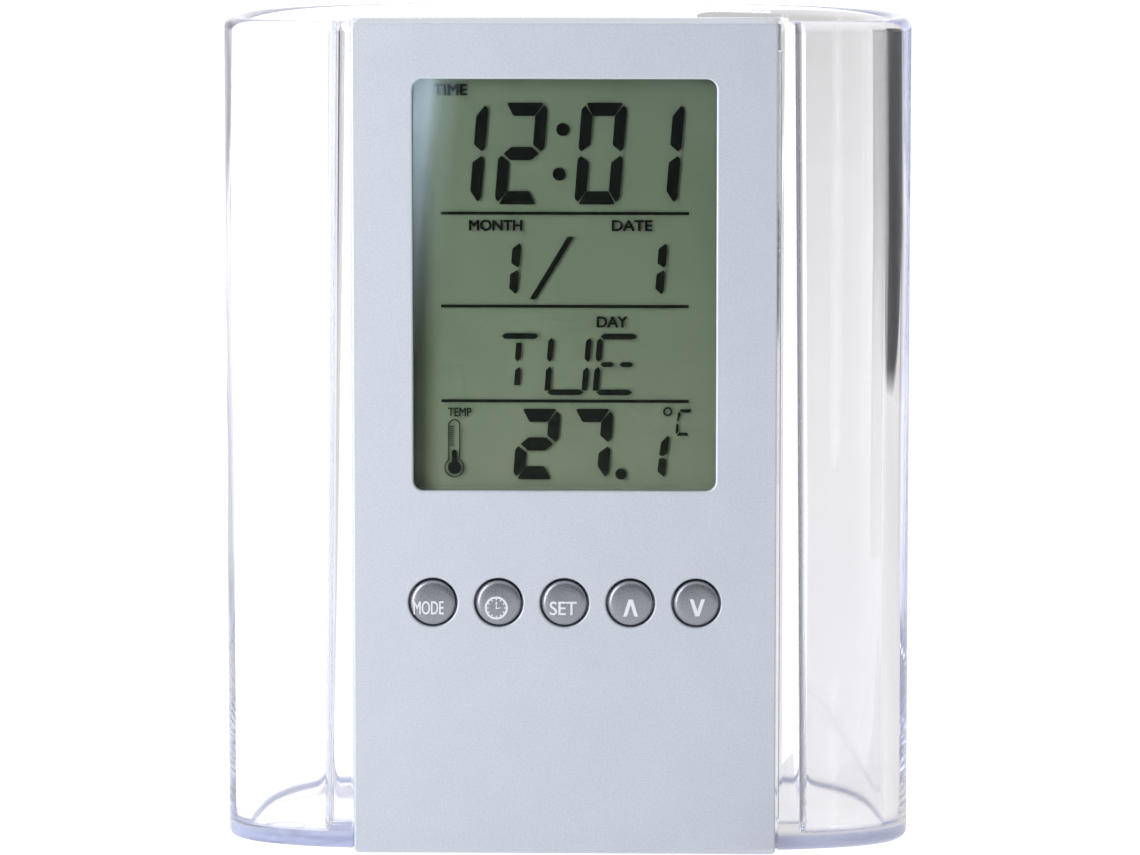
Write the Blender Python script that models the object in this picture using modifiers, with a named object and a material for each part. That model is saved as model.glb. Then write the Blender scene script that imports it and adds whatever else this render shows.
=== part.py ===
"""Pen holder clock: a clear D-shaped cup with a slot in its front, and a slim LCD clock
module that slides down into that slot from above.

Metres, +Z up, the display faces -Y. The origin is the centre of the footprint, on the
surface the holder stands on.
"""

import math

import bmesh
import bpy
from mathutils import Matrix, Vector

MM = 0.001

# ---- driving dimensions -------------------------------------------------------------
HEIGHT = 100.0 * MM          # holder, floor to rim
WIDTH = 83.0 * MM            # across the two rounded ends
TIP_Y = -8.25 * MM           # plane of the widest section
FRONT_DEPTH = 15.0 * MM      # widest section to the front of the cup
BACK_DEPTH = 33.0 * MM       # widest section to the back of the cup
FRONT_POWER = 3.3            # squareness of the front half of the outline
BACK_POWER = 2.33            # squareness of the back half of the outline
WALL_TOP = 2.5 * MM          # cup wall at the rim
WALL_BOTTOM = 2.7 * MM       # cup wall at the floor (moulding draft)
BASE_Z = 0.2 * MM            # underside of the base, above the table
FLOOR_Z = 2.4 * MM           # floor of the slot
CAVITY_FLOOR_Z = 1.9 * MM    # floor of the pen space

POCKET_HALF = 25.65 * MM     # half width of the slot for the module
POCKET_BACK = -11.75 * MM    # back face of the slot
APRON_BACK = -20.6 * MM      # the base is cut back to here, behind the front panel
POCKET_WALL_TOP = 1.45 * MM
POCKET_WALL_BOTTOM = 2.45 * MM
RIB_REACH = 1.2 * MM         # guide rib on each side of the slot
RIB_FRONT = -21.85 * MM
RIB_BACK = -19.25 * MM
RIB_TOP = 96.5 * MM

PANEL_HALF = 25.3 * MM
PANEL_FRONT = -24.25 * MM
PANEL_BACK = -22.25 * MM
PANEL_BOTTOM = 0.2 * MM
PANEL_TOP = 100.0 * MM
WINDOW_HALF = 18.06 * MM
WINDOW_LOW = 44.15 * MM
WINDOW_HIGH = 93.35 * MM
WINDOW_CORNER = 1.25 * MM
BUTTON_NAMES = ("button_mode", "button_alarm", "button_set", "button_up", "button_down")
BUTTON_PITCH = 7.88 * MM
BUTTON_Z = 30.68 * MM
BUTTON_R = 2.69 * MM
BUTTON_HOLE_R = 2.93 * MM
BUTTON_FACE = -24.75 * MM
BUTTON_TRAVEL = 0.8 * MM

CASE_FRONT = -21.95 * MM
CASE_STEP = -18.9 * MM
CASE_BACK = -12.05 * MM
CASE_NARROW_HALF = 24.1 * MM
CASE_BOTTOM = 2.7 * MM
CASE_TOP = 99.9 * MM
CASE_INNER_HALF = 22.6 * MM
CASE_INNER_BACK = -13.55 * MM

BOARD_FRONT = -17.8 * MM
BOARD_BACK = -16.6 * MM
BOARD_BOTTOM = 26.2 * MM
BOARD_TOP = 97.0 * MM

CELL_Z = 15.0 * MM
CELL_R = 5.8 * MM
WELL_R = 6.9 * MM
COVER_R = 8.2 * MM

for old in list(bpy.data.objects):
    bpy.data.objects.remove(old, do_unlink=True)

parts = bpy.data.collections.new("pen_holder_clock")
cutters = bpy.data.collections.new("cutters")
cutters.hide_render = True
bpy.context.scene.collection.children.link(parts)
bpy.context.scene.collection.children.link(cutters)


# ---- materials ----------------------------------------------------------------------
def make_material(name, colour, roughness, metallic=0.0, transmission=0.0, ior=1.5):
    mat = bpy.data.materials.new(name)
    mat.use_nodes = True
    shader = mat.node_tree.nodes["Principled BSDF"]
    shader.inputs["Base Color"].default_value = (*colour, 1.0)
    shader.inputs["Roughness"].default_value = roughness
    shader.inputs["Metallic"].default_value = metallic
    shader.inputs["Transmission Weight"].default_value = transmission
    shader.inputs["IOR"].default_value = ior
    mat.diffuse_color = (*colour, 0.4 if transmission else 1.0)
    return mat


CLEAR = make_material("clear_polystyrene", (0.97, 0.975, 1.0), 0.03, 0.0, 1.0, 1.57)
PAD = make_material("clear_soft_pad", (0.9, 0.92, 0.95), 0.25, 0.0, 0.8, 1.45)
SILVER = make_material("silver_paint", (0.62, 0.65, 0.70), 0.38, 0.75)
CASE = make_material("silver_case", (0.58, 0.61, 0.66), 0.45, 0.5)
LENS = make_material("clear_acrylic", (0.97, 0.99, 0.98), 0.02, 0.0, 1.0, 1.49)
POLAR = make_material("polariser_film", (0.33, 0.37, 0.29), 0.2)
GLASS = make_material("display_glass", (0.86, 0.9, 0.86), 0.02, 0.0, 1.0, 1.52)
REFLECT = make_material("reflector_film", (0.42, 0.47, 0.38), 0.45, 0.4)
FRAME = make_material("white_frame_plastic", (0.75, 0.75, 0.73), 0.5)
ZEBRA = make_material("zebra_rubber", (0.08, 0.08, 0.09), 0.7)
BOARD = make_material("circuit_board", (0.03, 0.18, 0.07), 0.4)
EPOXY = make_material("black_epoxy", (0.012, 0.012, 0.014), 0.3)
TIN = make_material("tinned_metal", (0.7, 0.7, 0.68), 0.3, 1.0)
NICKEL = make_material("nickel_plate", (0.66, 0.64, 0.6), 0.28, 1.0)
BRASS = make_material("brass", (0.72, 0.52, 0.22), 0.3, 1.0)
CERAMIC = make_material("ceramic", (0.62, 0.55, 0.42), 0.6)
SILICONE = make_material("silicone_mat", (0.5, 0.52, 0.53), 0.7)
CARBON = make_material("carbon_rubber", (0.03, 0.03, 0.03), 0.8)
BUTTON = make_material("button_grey", (0.25, 0.26, 0.28), 0.35, 0.6)
STEEL = make_material("screw_steel", (0.55, 0.55, 0.56), 0.3, 1.0)
RED = make_material("red_insulation", (0.55, 0.03, 0.02), 0.45)
BLACK = make_material("black_insulation", (0.02, 0.02, 0.02), 0.45)


# ---- small modelling helpers --------------------------------------------------------
def link(obj, material=None, smooth=None, parent=None):
    """Put an object in the parts collection, with its material, shading and parent."""
    for group in list(obj.users_collection):
        group.objects.unlink(obj)
    parts.objects.link(obj)
    if material:
        obj.data.materials.clear()
        obj.data.materials.append(material)
    if smooth is not None and obj.type == "MESH":
        obj.data.shade_smooth()
        obj.data.set_sharp_from_angle(angle=math.radians(smooth))
    if parent:
        obj.parent = parent
        obj.matrix_parent_inverse = Matrix.Translation(-parent.location)
    return obj


def as_cutter(obj):
    for group in list(obj.users_collection):
        group.objects.unlink(obj)
    cutters.objects.link(obj)
    obj.hide_render = True
    obj.display_type = "WIRE"
    return obj


def boolean(target, tool, operation):
    as_cutter(tool)
    mod = target.modifiers.new(operation.lower(), "BOOLEAN")
    mod.operation = operation
    mod.solver = "EXACT"
    mod.object = tool
    return target


def cut(target, *tools):
    for tool in tools:
        boolean(target, tool, "DIFFERENCE")
    return target


def join(target, *tools):
    for tool in tools:
        boolean(target, tool, "UNION")
    return target


def mesh_object(name, bm, location=(0, 0, 0)):
    mesh = bpy.data.meshes.new(name)
    bm.to_mesh(mesh)
    bm.free()
    obj = bpy.data.objects.new(name, mesh)
    obj.location = location
    bpy.context.scene.collection.objects.link(obj)
    return obj


def block(name, low, high, bevel=0.0, segments=2):
    """A box between two corners, its origin at its centre, with its edges rounded."""
    low, high = Vector(low), Vector(high)
    bm = bmesh.new()
    bmesh.ops.create_cube(bm, size=1.0)
    bmesh.ops.scale(bm, vec=high - low, verts=bm.verts)
    if bevel:
        bmesh.ops.bevel(bm, geom=list(bm.edges), offset=bevel, segments=segments, affect="EDGES", profile=0.5)
    return mesh_object(name, bm, (low + high) / 2)


def rod_y(name, radius, y0, y1, x, z, segments=32, bevel=0.0):
    """A cylinder whose axis runs along Y."""
    bm = bmesh.new()
    bmesh.ops.create_cone(bm, cap_ends=True, segments=segments, radius1=radius, radius2=radius, depth=abs(y1 - y0))
    bmesh.ops.rotate(bm, cent=(0, 0, 0), matrix=Matrix.Rotation(math.radians(90), 3, "X"), verts=bm.verts)
    if bevel:
        rims = [e for e in bm.edges if any(len(f.verts) > 4 for f in e.link_faces)]
        bmesh.ops.bevel(bm, geom=rims, offset=bevel, segments=2, affect="EDGES", profile=0.5)
    return mesh_object(name, bm, (x, (y0 + y1) / 2, z))


def turned(name, profile, location, axis="Z", steps=32):
    """A turned piece. The profile is (radius, height) from the top of its outer side down."""
    mesh = bpy.data.meshes.new(name)
    mesh.from_pydata([(r, 0, h) for r, h in profile], [(i, i + 1) for i in range(len(profile) - 1)], [])
    obj = bpy.data.objects.new(name, mesh)
    bpy.context.scene.collection.objects.link(obj)
    screw = obj.modifiers.new("turn", "SCREW")
    screw.axis = "Z"
    screw.angle = math.radians(360)
    screw.steps = screw.render_steps = steps
    screw.use_merge_vertices = True
    screw.merge_threshold = 0.000005
    screw.use_normal_calculate = True
    obj.location = location
    if axis == "-Y":            # local +Z points out of the front
        obj.rotation_euler = (math.radians(90), 0, 0)
    elif axis == "+Y":          # local +Z points out of the back
        obj.rotation_euler = (math.radians(-90), 0, 0)
    elif axis == "X":
        obj.rotation_euler = (0, math.radians(90), 0)
    return obj


def baked(obj):
    """The object as a plain mesh, with its modifiers applied and loose caps welded."""
    bpy.context.view_layer.update()
    graph = bpy.context.evaluated_depsgraph_get()
    mesh = bpy.data.meshes.new_from_object(obj.evaluated_get(graph))
    bm = bmesh.new()
    bm.from_mesh(mesh)
    bmesh.ops.remove_doubles(bm, verts=bm.verts, dist=0.000002)
    bmesh.ops.recalc_face_normals(bm, faces=bm.faces)
    bm.to_mesh(mesh)
    bm.free()
    fresh = bpy.data.objects.new(obj.name, mesh)
    fresh.matrix_world = obj.matrix_world.copy()
    name = obj.name
    bpy.data.objects.remove(obj, do_unlink=True)
    fresh.name = name
    bpy.context.scene.collection.objects.link(fresh)
    return fresh


def rounded_rectangle(half_x, low, high, radius, corner_steps=4):
    """Outline of a rectangle with round corners, anticlockwise."""
    points = []
    for cx, cy, start in (
        (half_x - radius, high - radius, 0),
        (-half_x + radius, high - radius, 90),
        (-half_x + radius, low + radius, 180),
        (half_x - radius, low + radius, 270),
    ):
        for k in range(corner_steps + 1):
            a = math.radians(start + 90 * k / corner_steps)
            points.append((cx + radius * math.cos(a), cy + radius * math.sin(a)))
    return points


def circle(cx, cy, radius, count=32):
    return [
        (cx + radius * math.cos(2 * math.pi * k / count), cy + radius * math.sin(2 * math.pi * k / count))
        for k in range(count)
    ]


def sheet(name, outlines, y_front, y_back, edge=0.0, edge_steps=0):
    """A flat piece facing -Y, cut to the given (x, z) outlines, the first one outside and
    the others holes, with every edge eased by `edge`."""
    curve = bpy.data.curves.new(name, "CURVE")
    curve.dimensions = "2D"
    curve.fill_mode = "BOTH"
    curve.extrude = (y_back - y_front) / 2 - edge
    curve.bevel_depth = edge
    curve.bevel_resolution = edge_steps
    curve.offset = -edge
    for outline in outlines:
        spline = curve.splines.new("POLY")
        spline.points.add(len(outline) - 1)
        for point, (x, z) in zip(spline.points, outline):
            point.co = (x, z, 0, 1)
        spline.use_cyclic_u = True
    obj = bpy.data.objects.new(name, curve)
    obj.location = (0, (y_front + y_back) / 2, 0)
    obj.rotation_euler = (math.radians(90), 0, 0)
    bpy.context.scene.collection.objects.link(obj)
    return baked(obj)


def wire(name, points, radius, material, parent):
    """A thin insulated wire along a smooth path through the points."""
    curve = bpy.data.curves.new(name, "CURVE")
    curve.dimensions = "3D"
    curve.bevel_depth = radius
    curve.bevel_resolution = 2
    curve.use_fill_caps = True
    spline = curve.splines.new("POLY")
    path = []
    count = len(points)
    for i in range(count - 1):
        p0, p1 = Vector(points[max(i - 1, 0)]), Vector(points[i])
        p2, p3 = Vector(points[i + 1]), Vector(points[min(i + 2, count - 1)])
        for k in range(5 if i < count - 2 else 6):
            t = k / 5
            path.append(0.5 * (2 * p1 + (p2 - p0) * t + (2 * p0 - 5 * p1 + 4 * p2 - p3) * t * t + (3 * p1 - p0 - 3 * p2 + p3) * t ** 3))
    spline.points.add(len(path) - 1)
    for point, co in zip(spline.points, path):
        point.co = (*co, 1)
    obj = bpy.data.objects.new(name, curve)
    bpy.context.scene.collection.objects.link(obj)
    curve.materials.append(material)
    return link(obj, None, None, parent)


# ---- the cup ------------------------------------------------------------------------
ARC_POINTS = 73
OUTER_POINTS = 96


def half_turn(first, last, count, inset):
    """Points along the cup's outline between two angles, seen from above."""
    a, front, back = WIDTH / 2 - inset, FRONT_DEPTH - inset, BACK_DEPTH - inset
    points = []
    for k in range(count):
        t = first + (last - first) * k / (count - 1)
        c, s = math.cos(t), math.sin(t)
        power, depth = (BACK_POWER, back) if s > 0 else (FRONT_POWER, front)
        points.append((
            a * math.copysign(abs(c) ** (2 / power), c),
            TIP_Y + depth * math.copysign(abs(s) ** (2 / power), s),
        ))
    return points


def outer_loop(inset):
    """The whole D, as it would be without the slot."""
    return half_turn(-math.pi / 2, 1.5 * math.pi, OUTER_POINTS + 1, inset)[:-1]


def inner_loop(wall, side, extra=0.0):
    """The inside of the wall in plan: a smaller D, then round the outside of the slot."""
    inset = wall + extra
    half = POCKET_HALF + side + extra
    back = POCKET_BACK + side + extra
    first = -math.acos((half / (WIDTH / 2 - inset)) ** (FRONT_POWER / 2))
    left = [(-half, back - 1.0 * MM), (-half + 0.3 * MM, back - 0.3 * MM), (-half + 1.0 * MM, back)]
    right = [(-x, y) for x, y in reversed(left)]
    return half_turn(first, math.pi - first, ARC_POINTS, inset) + left + right


def loft(name, rings):
    """A closed solid through level rings of equal count, each given as (loop, z)."""
    bm = bmesh.new()
    loops = [[bm.verts.new((x, y, z)) for x, y in loop] for loop, z in rings]
    count = len(loops[0])
    for low, high in zip(loops, loops[1:]):
        for k in range(count):
            n = (k + 1) % count
            bm.faces.new((low[k], low[n], high[n], high[k]))
    bm.faces.new(list(reversed(loops[0])))
    bm.faces.new(loops[-1])
    bmesh.ops.recalc_face_normals(bm, faces=bm.faces)
    return mesh_object(name, bm)


def build_cup():
    rim = 1.2 * MM
    rings = [(outer_loop(0.9 * MM), BASE_Z), (outer_loop(0.27 * MM), BASE_Z + 0.27 * MM), (outer_loop(0.0), BASE_Z + 0.9 * MM)]
    rings += [(outer_loop(rim * (1 - math.cos(a))), HEIGHT - rim + rim * math.sin(a)) for a in (0, math.radians(35), math.radians(65), math.radians(90))]
    cup = loft("cup", rings)

    cavity = [
        (inner_loop(WALL_BOTTOM, POCKET_WALL_BOTTOM, 0.35 * MM), CAVITY_FLOOR_Z),
        (inner_loop(WALL_BOTTOM, POCKET_WALL_BOTTOM, 0.1 * MM), CAVITY_FLOOR_Z + 0.1 * MM),
        (inner_loop(WALL_BOTTOM, POCKET_WALL_BOTTOM), CAVITY_FLOOR_Z + 0.35 * MM),
        (inner_loop(WALL_TOP, POCKET_WALL_TOP), HEIGHT - rim),
        (inner_loop(WALL_TOP - 0.3 * MM, POCKET_WALL_TOP - 0.3 * MM), HEIGHT - 0.4 * MM),
        (inner_loop(WALL_TOP - 1.0 * MM, POCKET_WALL_TOP - 1.0 * MM), HEIGHT + 0.01 * MM),
        (inner_loop(WALL_TOP - 1.0 * MM, POCKET_WALL_TOP - 1.0 * MM), HEIGHT + 1.0 * MM),
    ]
    cut(cup, loft("cavity", cavity))

    left = [
        (-POCKET_HALF, -40 * MM), (-POCKET_HALF, RIB_FRONT), (-POCKET_HALF + RIB_REACH, RIB_FRONT),
        (-POCKET_HALF + RIB_REACH, RIB_BACK), (-POCKET_HALF, RIB_BACK), (-POCKET_HALF, POCKET_BACK - 0.8 * MM),
        (-POCKET_HALF + 0.25 * MM, POCKET_BACK - 0.25 * MM), (-POCKET_HALF + 0.8 * MM, POCKET_BACK),
    ]
    slot = left + [(-x, y) for x, y in reversed(left)]
    cut(cup, loft("slot", [(slot, FLOOR_Z), (slot, HEIGHT + 2 * MM)]),
        block("rib_end", (-POCKET_HALF, -40 * MM, RIB_TOP), (POCKET_HALF, POCKET_BACK - 1.5 * MM, HEIGHT + 3 * MM)),
        block("apron", (-POCKET_HALF, -41 * MM, -1 * MM), (POCKET_HALF, APRON_BACK, FLOOR_Z + 1 * MM)))
    for x, y in FEET:
        cut(cup, rod_z("foot_seat", 2.5 * MM, BASE_Z - 1.0 * MM, BASE_Z + 0.7 * MM, x, y))
    return link(cup, CLEAR, 35)


def rod_z(name, radius, z0, z1, x, y, segments=28):
    bm = bmesh.new()
    bmesh.ops.create_cone(bm, cap_ends=True, segments=segments, radius1=radius, radius2=radius, depth=z1 - z0)
    return mesh_object(name, bm, (x, y, (z0 + z1) / 2))


FEET = (
    (-34.0 * MM, TIP_Y - 6.0 * MM), (34.0 * MM, TIP_Y - 6.0 * MM),
    (-20.0 * MM, TIP_Y + 24.0 * MM), (20.0 * MM, TIP_Y + 24.0 * MM),
)
FOOT_NAMES = ("foot_front_left", "foot_front_right", "foot_back_left", "foot_back_right")

cup = build_cup()

for name, (x, y) in zip(FOOT_NAMES, FEET):
    foot = turned(name, [(0, 0.8 * MM), (1.9 * MM, 0.8 * MM), (2.15 * MM, 0.6 * MM), (2.15 * MM, 0.25 * MM), (1.9 * MM, 0), (0, 0)], (x, y, 0), steps=20)
    link(baked(foot), PAD, 40)

# ---- the module ---------------------------------------------------------------------
module = bpy.data.objects.new("module_lift", None)
module.location = (0, (PANEL_FRONT + CASE_BACK) / 2, CASE_BOTTOM)
parts.objects.link(module)

button_x = [(k - 2) * BUTTON_PITCH for k in range(5)]
POSTS = [(sx * 19.8 * MM, z) for z in (7.4 * MM, 37.2 * MM) for sx in (-1, 1)]

# front panel: one silver plate with the display window and five button holes
panel = sheet(
    "front_panel",
    [rounded_rectangle(PANEL_HALF, PANEL_BOTTOM, PANEL_TOP, 0.5 * MM, 3),
     rounded_rectangle(WINDOW_HALF, WINDOW_LOW, WINDOW_HIGH, WINDOW_CORNER, 5)]
    + [circle(x, BUTTON_Z, BUTTON_HOLE_R, 28) for x in button_x],
    PANEL_FRONT, PANEL_BACK, 0.25 * MM, 1,
)
cut(panel, block("lens_seat", (-19.6 * MM, -23.45 * MM, 42.6 * MM), (19.6 * MM, PANEL_BACK + 1 * MM, 95.2 * MM)))
for x, z in POSTS:
    join(panel, rod_y("post", 2.4 * MM, -22.8 * MM, -15.0 * MM, x, z, 24))
    cut(panel, rod_y("pilot", 1.05 * MM, -21.5 * MM, -14.5 * MM, x, z, 16))
for sx in (-1, 1):
    low, high = sorted((sx * 9.0 * MM, sx * 15.0 * MM))
    join(panel, block("hook_arm", (low, -22.6 * MM, 97.75 * MM), (high, -19.6 * MM, 98.4 * MM)),
         block("hook_nose", (low, -20.5 * MM, 97.75 * MM), (high, -19.6 * MM, 98.95 * MM)))
link(panel, SILVER, 35, module)

lens = sheet("display_lens", [rounded_rectangle(19.3 * MM, 42.9 * MM, 94.9 * MM, 0.5 * MM, 2)], -23.3 * MM, -22.7 * MM, 0.05 * MM)
link(lens, LENS, 30, module)

# display: polariser, two glasses, reflector, held in a white frame on the board
link(sheet("lcd_polariser", [rounded_rectangle(19.2 * MM, 43.0 * MM, 94.8 * MM, 0.3 * MM, 1)], -22.5 * MM, -22.3 * MM), POLAR, 30, module)
link(block("lcd_front_glass", (-21.0 * MM, -22.0 * MM, 41.4 * MM), (21.0 * MM, -21.4 * MM, 96.2 * MM), 0.05 * MM, 1), GLASS, None, module)
link(block("lcd_rear_glass", (-21.0 * MM, -21.2 * MM, 43.3 * MM), (21.0 * MM, -20.6 * MM, 94.3 * MM), 0.05 * MM, 1), GLASS, None, module)
link(block("lcd_reflector", (-20.6 * MM, -20.4 * MM, 43.6 * MM), (20.6 * MM, -20.2 * MM, 94.0 * MM)), REFLECT, None, module)
frame = block("lcd_frame", (-22.3 * MM, -21.9 * MM, 40.2 * MM), (22.3 * MM, -18.2 * MM, 97.4 * MM), 0.2 * MM, 1)
cut(frame,
    block("glass_seat", (-21.3 * MM, -23.0 * MM, 41.1 * MM), (21.3 * MM, -20.0 * MM, 96.5 * MM)),
    block("frame_window", (-16.5 * MM, -21.0 * MM, 49.0 * MM), (16.5 * MM, -17.0 * MM, 89.0 * MM)),
    block("zebra_slot_a", (-20.4 * MM, -21.0 * MM, 41.3 * MM), (20.4 * MM, -17.0 * MM, 43.1 * MM)),
    block("zebra_slot_b", (-20.4 * MM, -21.0 * MM, 94.5 * MM), (20.4 * MM, -17.0 * MM, 96.3 * MM)))
BOARD_SCREWS = [(sx * 18.8 * MM, z) for z in (46.5 * MM, 91.5 * MM) for sx in (-1, 1)]
for x, z in BOARD_SCREWS:
    cut(frame, rod_y("frame_pilot", 1.1 * MM, -20.5 * MM, -17.5 * MM, x, z, 16))
link(frame, FRAME, 30, module)
link(block("zebra_lower", (-20.0 * MM, -21.15 * MM, 41.6 * MM), (20.0 * MM, -18.05 * MM, 42.8 * MM), 0.1 * MM, 1), ZEBRA, None, module)
link(block("zebra_upper", (-20.0 * MM, -21.15 * MM, 94.8 * MM), (20.0 * MM, -18.05 * MM, 96.0 * MM), 0.1 * MM, 1), ZEBRA, None, module)

# circuit board and what is soldered to it
board = sheet(
    "circuit_board",
    [rounded_rectangle(21.6 * MM, BOARD_BOTTOM, BOARD_TOP, 0.6 * MM, 1)] + [circle(x, z, 1.1 * MM, 16) for x, z in BOARD_SCREWS],
    BOARD_FRONT, BOARD_BACK,
)
for x, z in POSTS[2:]:
    cut(board, rod_y("post_gap", 2.8 * MM, -19.0 * MM, -15.0 * MM, x, z, 20),
        block("post_gap_side", (min(x, x * 1.3), -19.0 * MM, z - 2.8 * MM), (max(x, x * 1.3), -15.0 * MM, z + 2.8 * MM)))
link(board, BOARD, 30, module)

link(baked(turned("chip_blob", [(0, 1.3 * MM), (2.2 * MM, 1.2 * MM), (3.9 * MM, 0.85 * MM), (5.0 * MM, 0.3 * MM), (5.2 * MM, 0), (0, 0)], (2.0 * MM, -16.3 * MM, 62.0 * MM), "+Y", 24)), EPOXY, 40, module)
link(baked(turned("crystal", [(0, 3.1 * MM), (0.8 * MM, 3.1 * MM), (1.0 * MM, 2.9 * MM), (1.0 * MM, -2.9 * MM), (0.8 * MM, -3.1 * MM), (0, -3.1 * MM)], (12.0 * MM, -15.25 * MM, 53.0 * MM), "X", 16)), TIN, 40, module)
link(block("chip_capacitor", (-9.0 * MM, -16.3 * MM, 50.0 * MM), (-7.0 * MM, -15.5 * MM, 51.25 * MM), 0.08 * MM, 1), CERAMIC, None, module)
link(block("chip_resistor", (-9.0 * MM, -16.3 * MM, 54.0 * MM), (-7.0 * MM, -15.7 * MM, 55.25 * MM), 0.08 * MM, 1), EPOXY, None, module)
thermistor = baked(turned("thermistor", [(0, 1.2 * MM), (0.7 * MM, 0.95 * MM), (1.05 * MM, 0.3 * MM), (1.0 * MM, -0.5 * MM), (0.4 * MM, -1.2 * MM), (0, -1.3 * MM)], (17.5 * MM, -15.2 * MM, 24.2 * MM), "Z", 16))
for dx in (-0.45, 0.45):
    join(thermistor, block("lead", ((17.5 + dx - 0.2) * MM, -15.4 * MM, 24.6 * MM), ((17.5 + dx + 0.2) * MM, -15.0 * MM, 29.5 * MM)),
         block("lead_foot", ((17.5 + dx - 0.2) * MM, -16.3 * MM, 29.2 * MM), ((17.5 + dx + 0.2) * MM, -15.0 * MM, 29.6 * MM)))
link(thermistor, CARBON, 40, module)

# buzzer: a brass disc with its ceramic, and its two leads
BUZZER = (-9.5 * MM, 80.0 * MM)
link(rod_y("buzzer_disc", 7.5 * MM, -14.4 * MM, -14.15 * MM, *BUZZER, 40), BRASS, 35, module)
link(rod_y("buzzer_ceramic", 5.2 * MM, -14.9 * MM, -14.65 * MM, *BUZZER, 32), CERAMIC, 35, module)
wire("buzzer_wire_red", [(-7.5 * MM, -15.3 * MM, 78.0 * MM), (-5.5 * MM, -15.6 * MM, 76.0 * MM), (-2.0 * MM, -15.7 * MM, 75.5 * MM), (2.0 * MM, -15.5 * MM, 77.5 * MM), (5.5 * MM, -15.9 * MM, 77.0 * MM)], 0.3 * MM, RED, module)
wire("buzzer_wire_black", [(-15.9 * MM, -14.75 * MM, 76.0 * MM), (-15.5 * MM, -15.2 * MM, 72.5 * MM), (-11.0 * MM, -15.6 * MM, 70.8 * MM), (-3.0 * MM, -15.5 * MM, 72.0 * MM), (5.5 * MM, -15.9 * MM, 73.5 * MM)], 0.3 * MM, BLACK, module)

# keypad: a silicone sheet, and a carbon-tipped plunger behind each button
link(sheet("keypad_sheet", [rounded_rectangle(19.4 * MM, 27.0 * MM, 34.1 * MM, 0.6 * MM, 2)] + [circle(x, BUTTON_Z, 2.3 * MM, 14) for x in button_x], -18.9 * MM, -18.1 * MM), SILICONE, 30, module)

for name, x in zip(BUTTON_NAMES, button_x):
    button = turned(
        name,
        [(0, 0.0), (1.5 * MM, -0.03 * MM), (2.25 * MM, -0.10 * MM), (2.55 * MM, -0.22 * MM), (BUTTON_R, -0.5 * MM), (BUTTON_R, -2.85 * MM),
         (3.4 * MM, -2.85 * MM), (3.4 * MM, -3.55 * MM), (1.8 * MM, -3.55 * MM), (1.8 * MM, -3.95 * MM), (0, -3.95 * MM)],
        (x, BUTTON_FACE, BUTTON_Z), "-Y", 28,
    )
    link(baked(button), BUTTON, 35, module)
    plunger = turned(
        name.replace("button", "plunger"),
        [(0, 0), (1.5 * MM, 0), (1.8 * MM, -0.3 * MM), (1.8 * MM, -1.5 * MM), (1.6 * MM, -1.75 * MM), (0, -1.75 * MM)],
        (x, -20.45 * MM, BUTTON_Z), "-Y", 14,
    )
    link(baked(plunger), CARBON, 35, module)

# rear case: a stepped shell, narrower in front so that the cup's ribs fit behind the panel
rear = block("rear_case", (-PANEL_HALF, CASE_STEP, CASE_BOTTOM), (PANEL_HALF, CASE_BACK, CASE_TOP), 0.4 * MM, 2)
join(rear, block("case_front", (-CASE_NARROW_HALF, CASE_FRONT, CASE_BOTTOM), (CASE_NARROW_HALF, CASE_STEP + 2.0 * MM, CASE_TOP), 0.2 * MM, 1))
cut(rear, block("case_hollow", (-CASE_INNER_HALF, CASE_FRONT - 2 * MM, 4.2 * MM), (CASE_INNER_HALF, CASE_INNER_BACK, 98.7 * MM)))
for sx in (-1, 1):
    low, high = sorted((sx * 8.6 * MM, sx * 15.4 * MM))
    cut(rear, block("hook_seat", (low, -20.9 * MM, 98.0 * MM), (high, -19.2 * MM, 99.3 * MM)))
# battery well, with the seat and the groove of its twist-off cover
join(rear, rod_y("well_collar", 10.8 * MM, -14.9 * MM, -12.6 * MM, 0, CELL_Z, 40), rod_y("well_wall", 8.1 * MM, -21.3 * MM, -14.0 * MM, 0, CELL_Z, 40))
cut(rear,
    rod_y("well", WELL_R, -20.4 * MM, -11.0 * MM, 0, CELL_Z, 40),
    rod_y("cover_seat", 8.5 * MM, -13.85 * MM, -11.0 * MM, 0, CELL_Z, 44),
    rod_y("cover_groove", 9.5 * MM, -13.85 * MM, -12.8 * MM, 0, CELL_Z, 44),
    block("lug_way", (-1.9 * MM, -13.3 * MM, CELL_Z - 9.4 * MM), (1.9 * MM, -11.0 * MM, CELL_Z + 9.4 * MM)),
    block("minus_way", (-4.6 * MM, -20.5 * MM, 20.0 * MM), (-1.4 * MM, -19.5 * MM, 24.0 * MM)),
    block("plus_seat", (-0.3 * MM, -20.0 * MM, 20.5 * MM), (2.7 * MM, -15.2 * MM, 22.1 * MM)),
    block("plus_way", (-0.4 * MM, -16.6 * MM, 21.0 * MM), (2.8 * MM, -15.6 * MM, 24.5 * MM)))
# screw bosses, buzzer seat and sound holes
for x, z in POSTS:
    join(rear, rod_y("boss", 2.9 * MM, -14.6 * MM, -13.0 * MM, x, z, 24))
    cut(rear, rod_y("boss_hole", 1.2 * MM, -16.0 * MM, -11.0 * MM, x, z, 16), rod_y("boss_bore", 2.2 * MM, -13.4 * MM, -11.0 * MM, x, z, 24))
seat = rod_y("buzzer_seat", 8.4 * MM, -13.85 * MM, -13.0 * MM, *BUZZER, 36)
join(rear, seat)
cut(rear, rod_y("buzzer_room", 6.4 * MM, -15.0 * MM, -13.4 * MM, *BUZZER, 32))
for k in range(5):
    a = math.radians(72 * k + 90)
    cut(rear, rod_y("sound_hole", 0.7 * MM, -14.5 * MM, -11.0 * MM, BUZZER[0] + 3.2 * MM * math.cos(a), BUZZER[1] + 3.2 * MM * math.sin(a), 12))
link(rear, CASE, 35, module)

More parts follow.
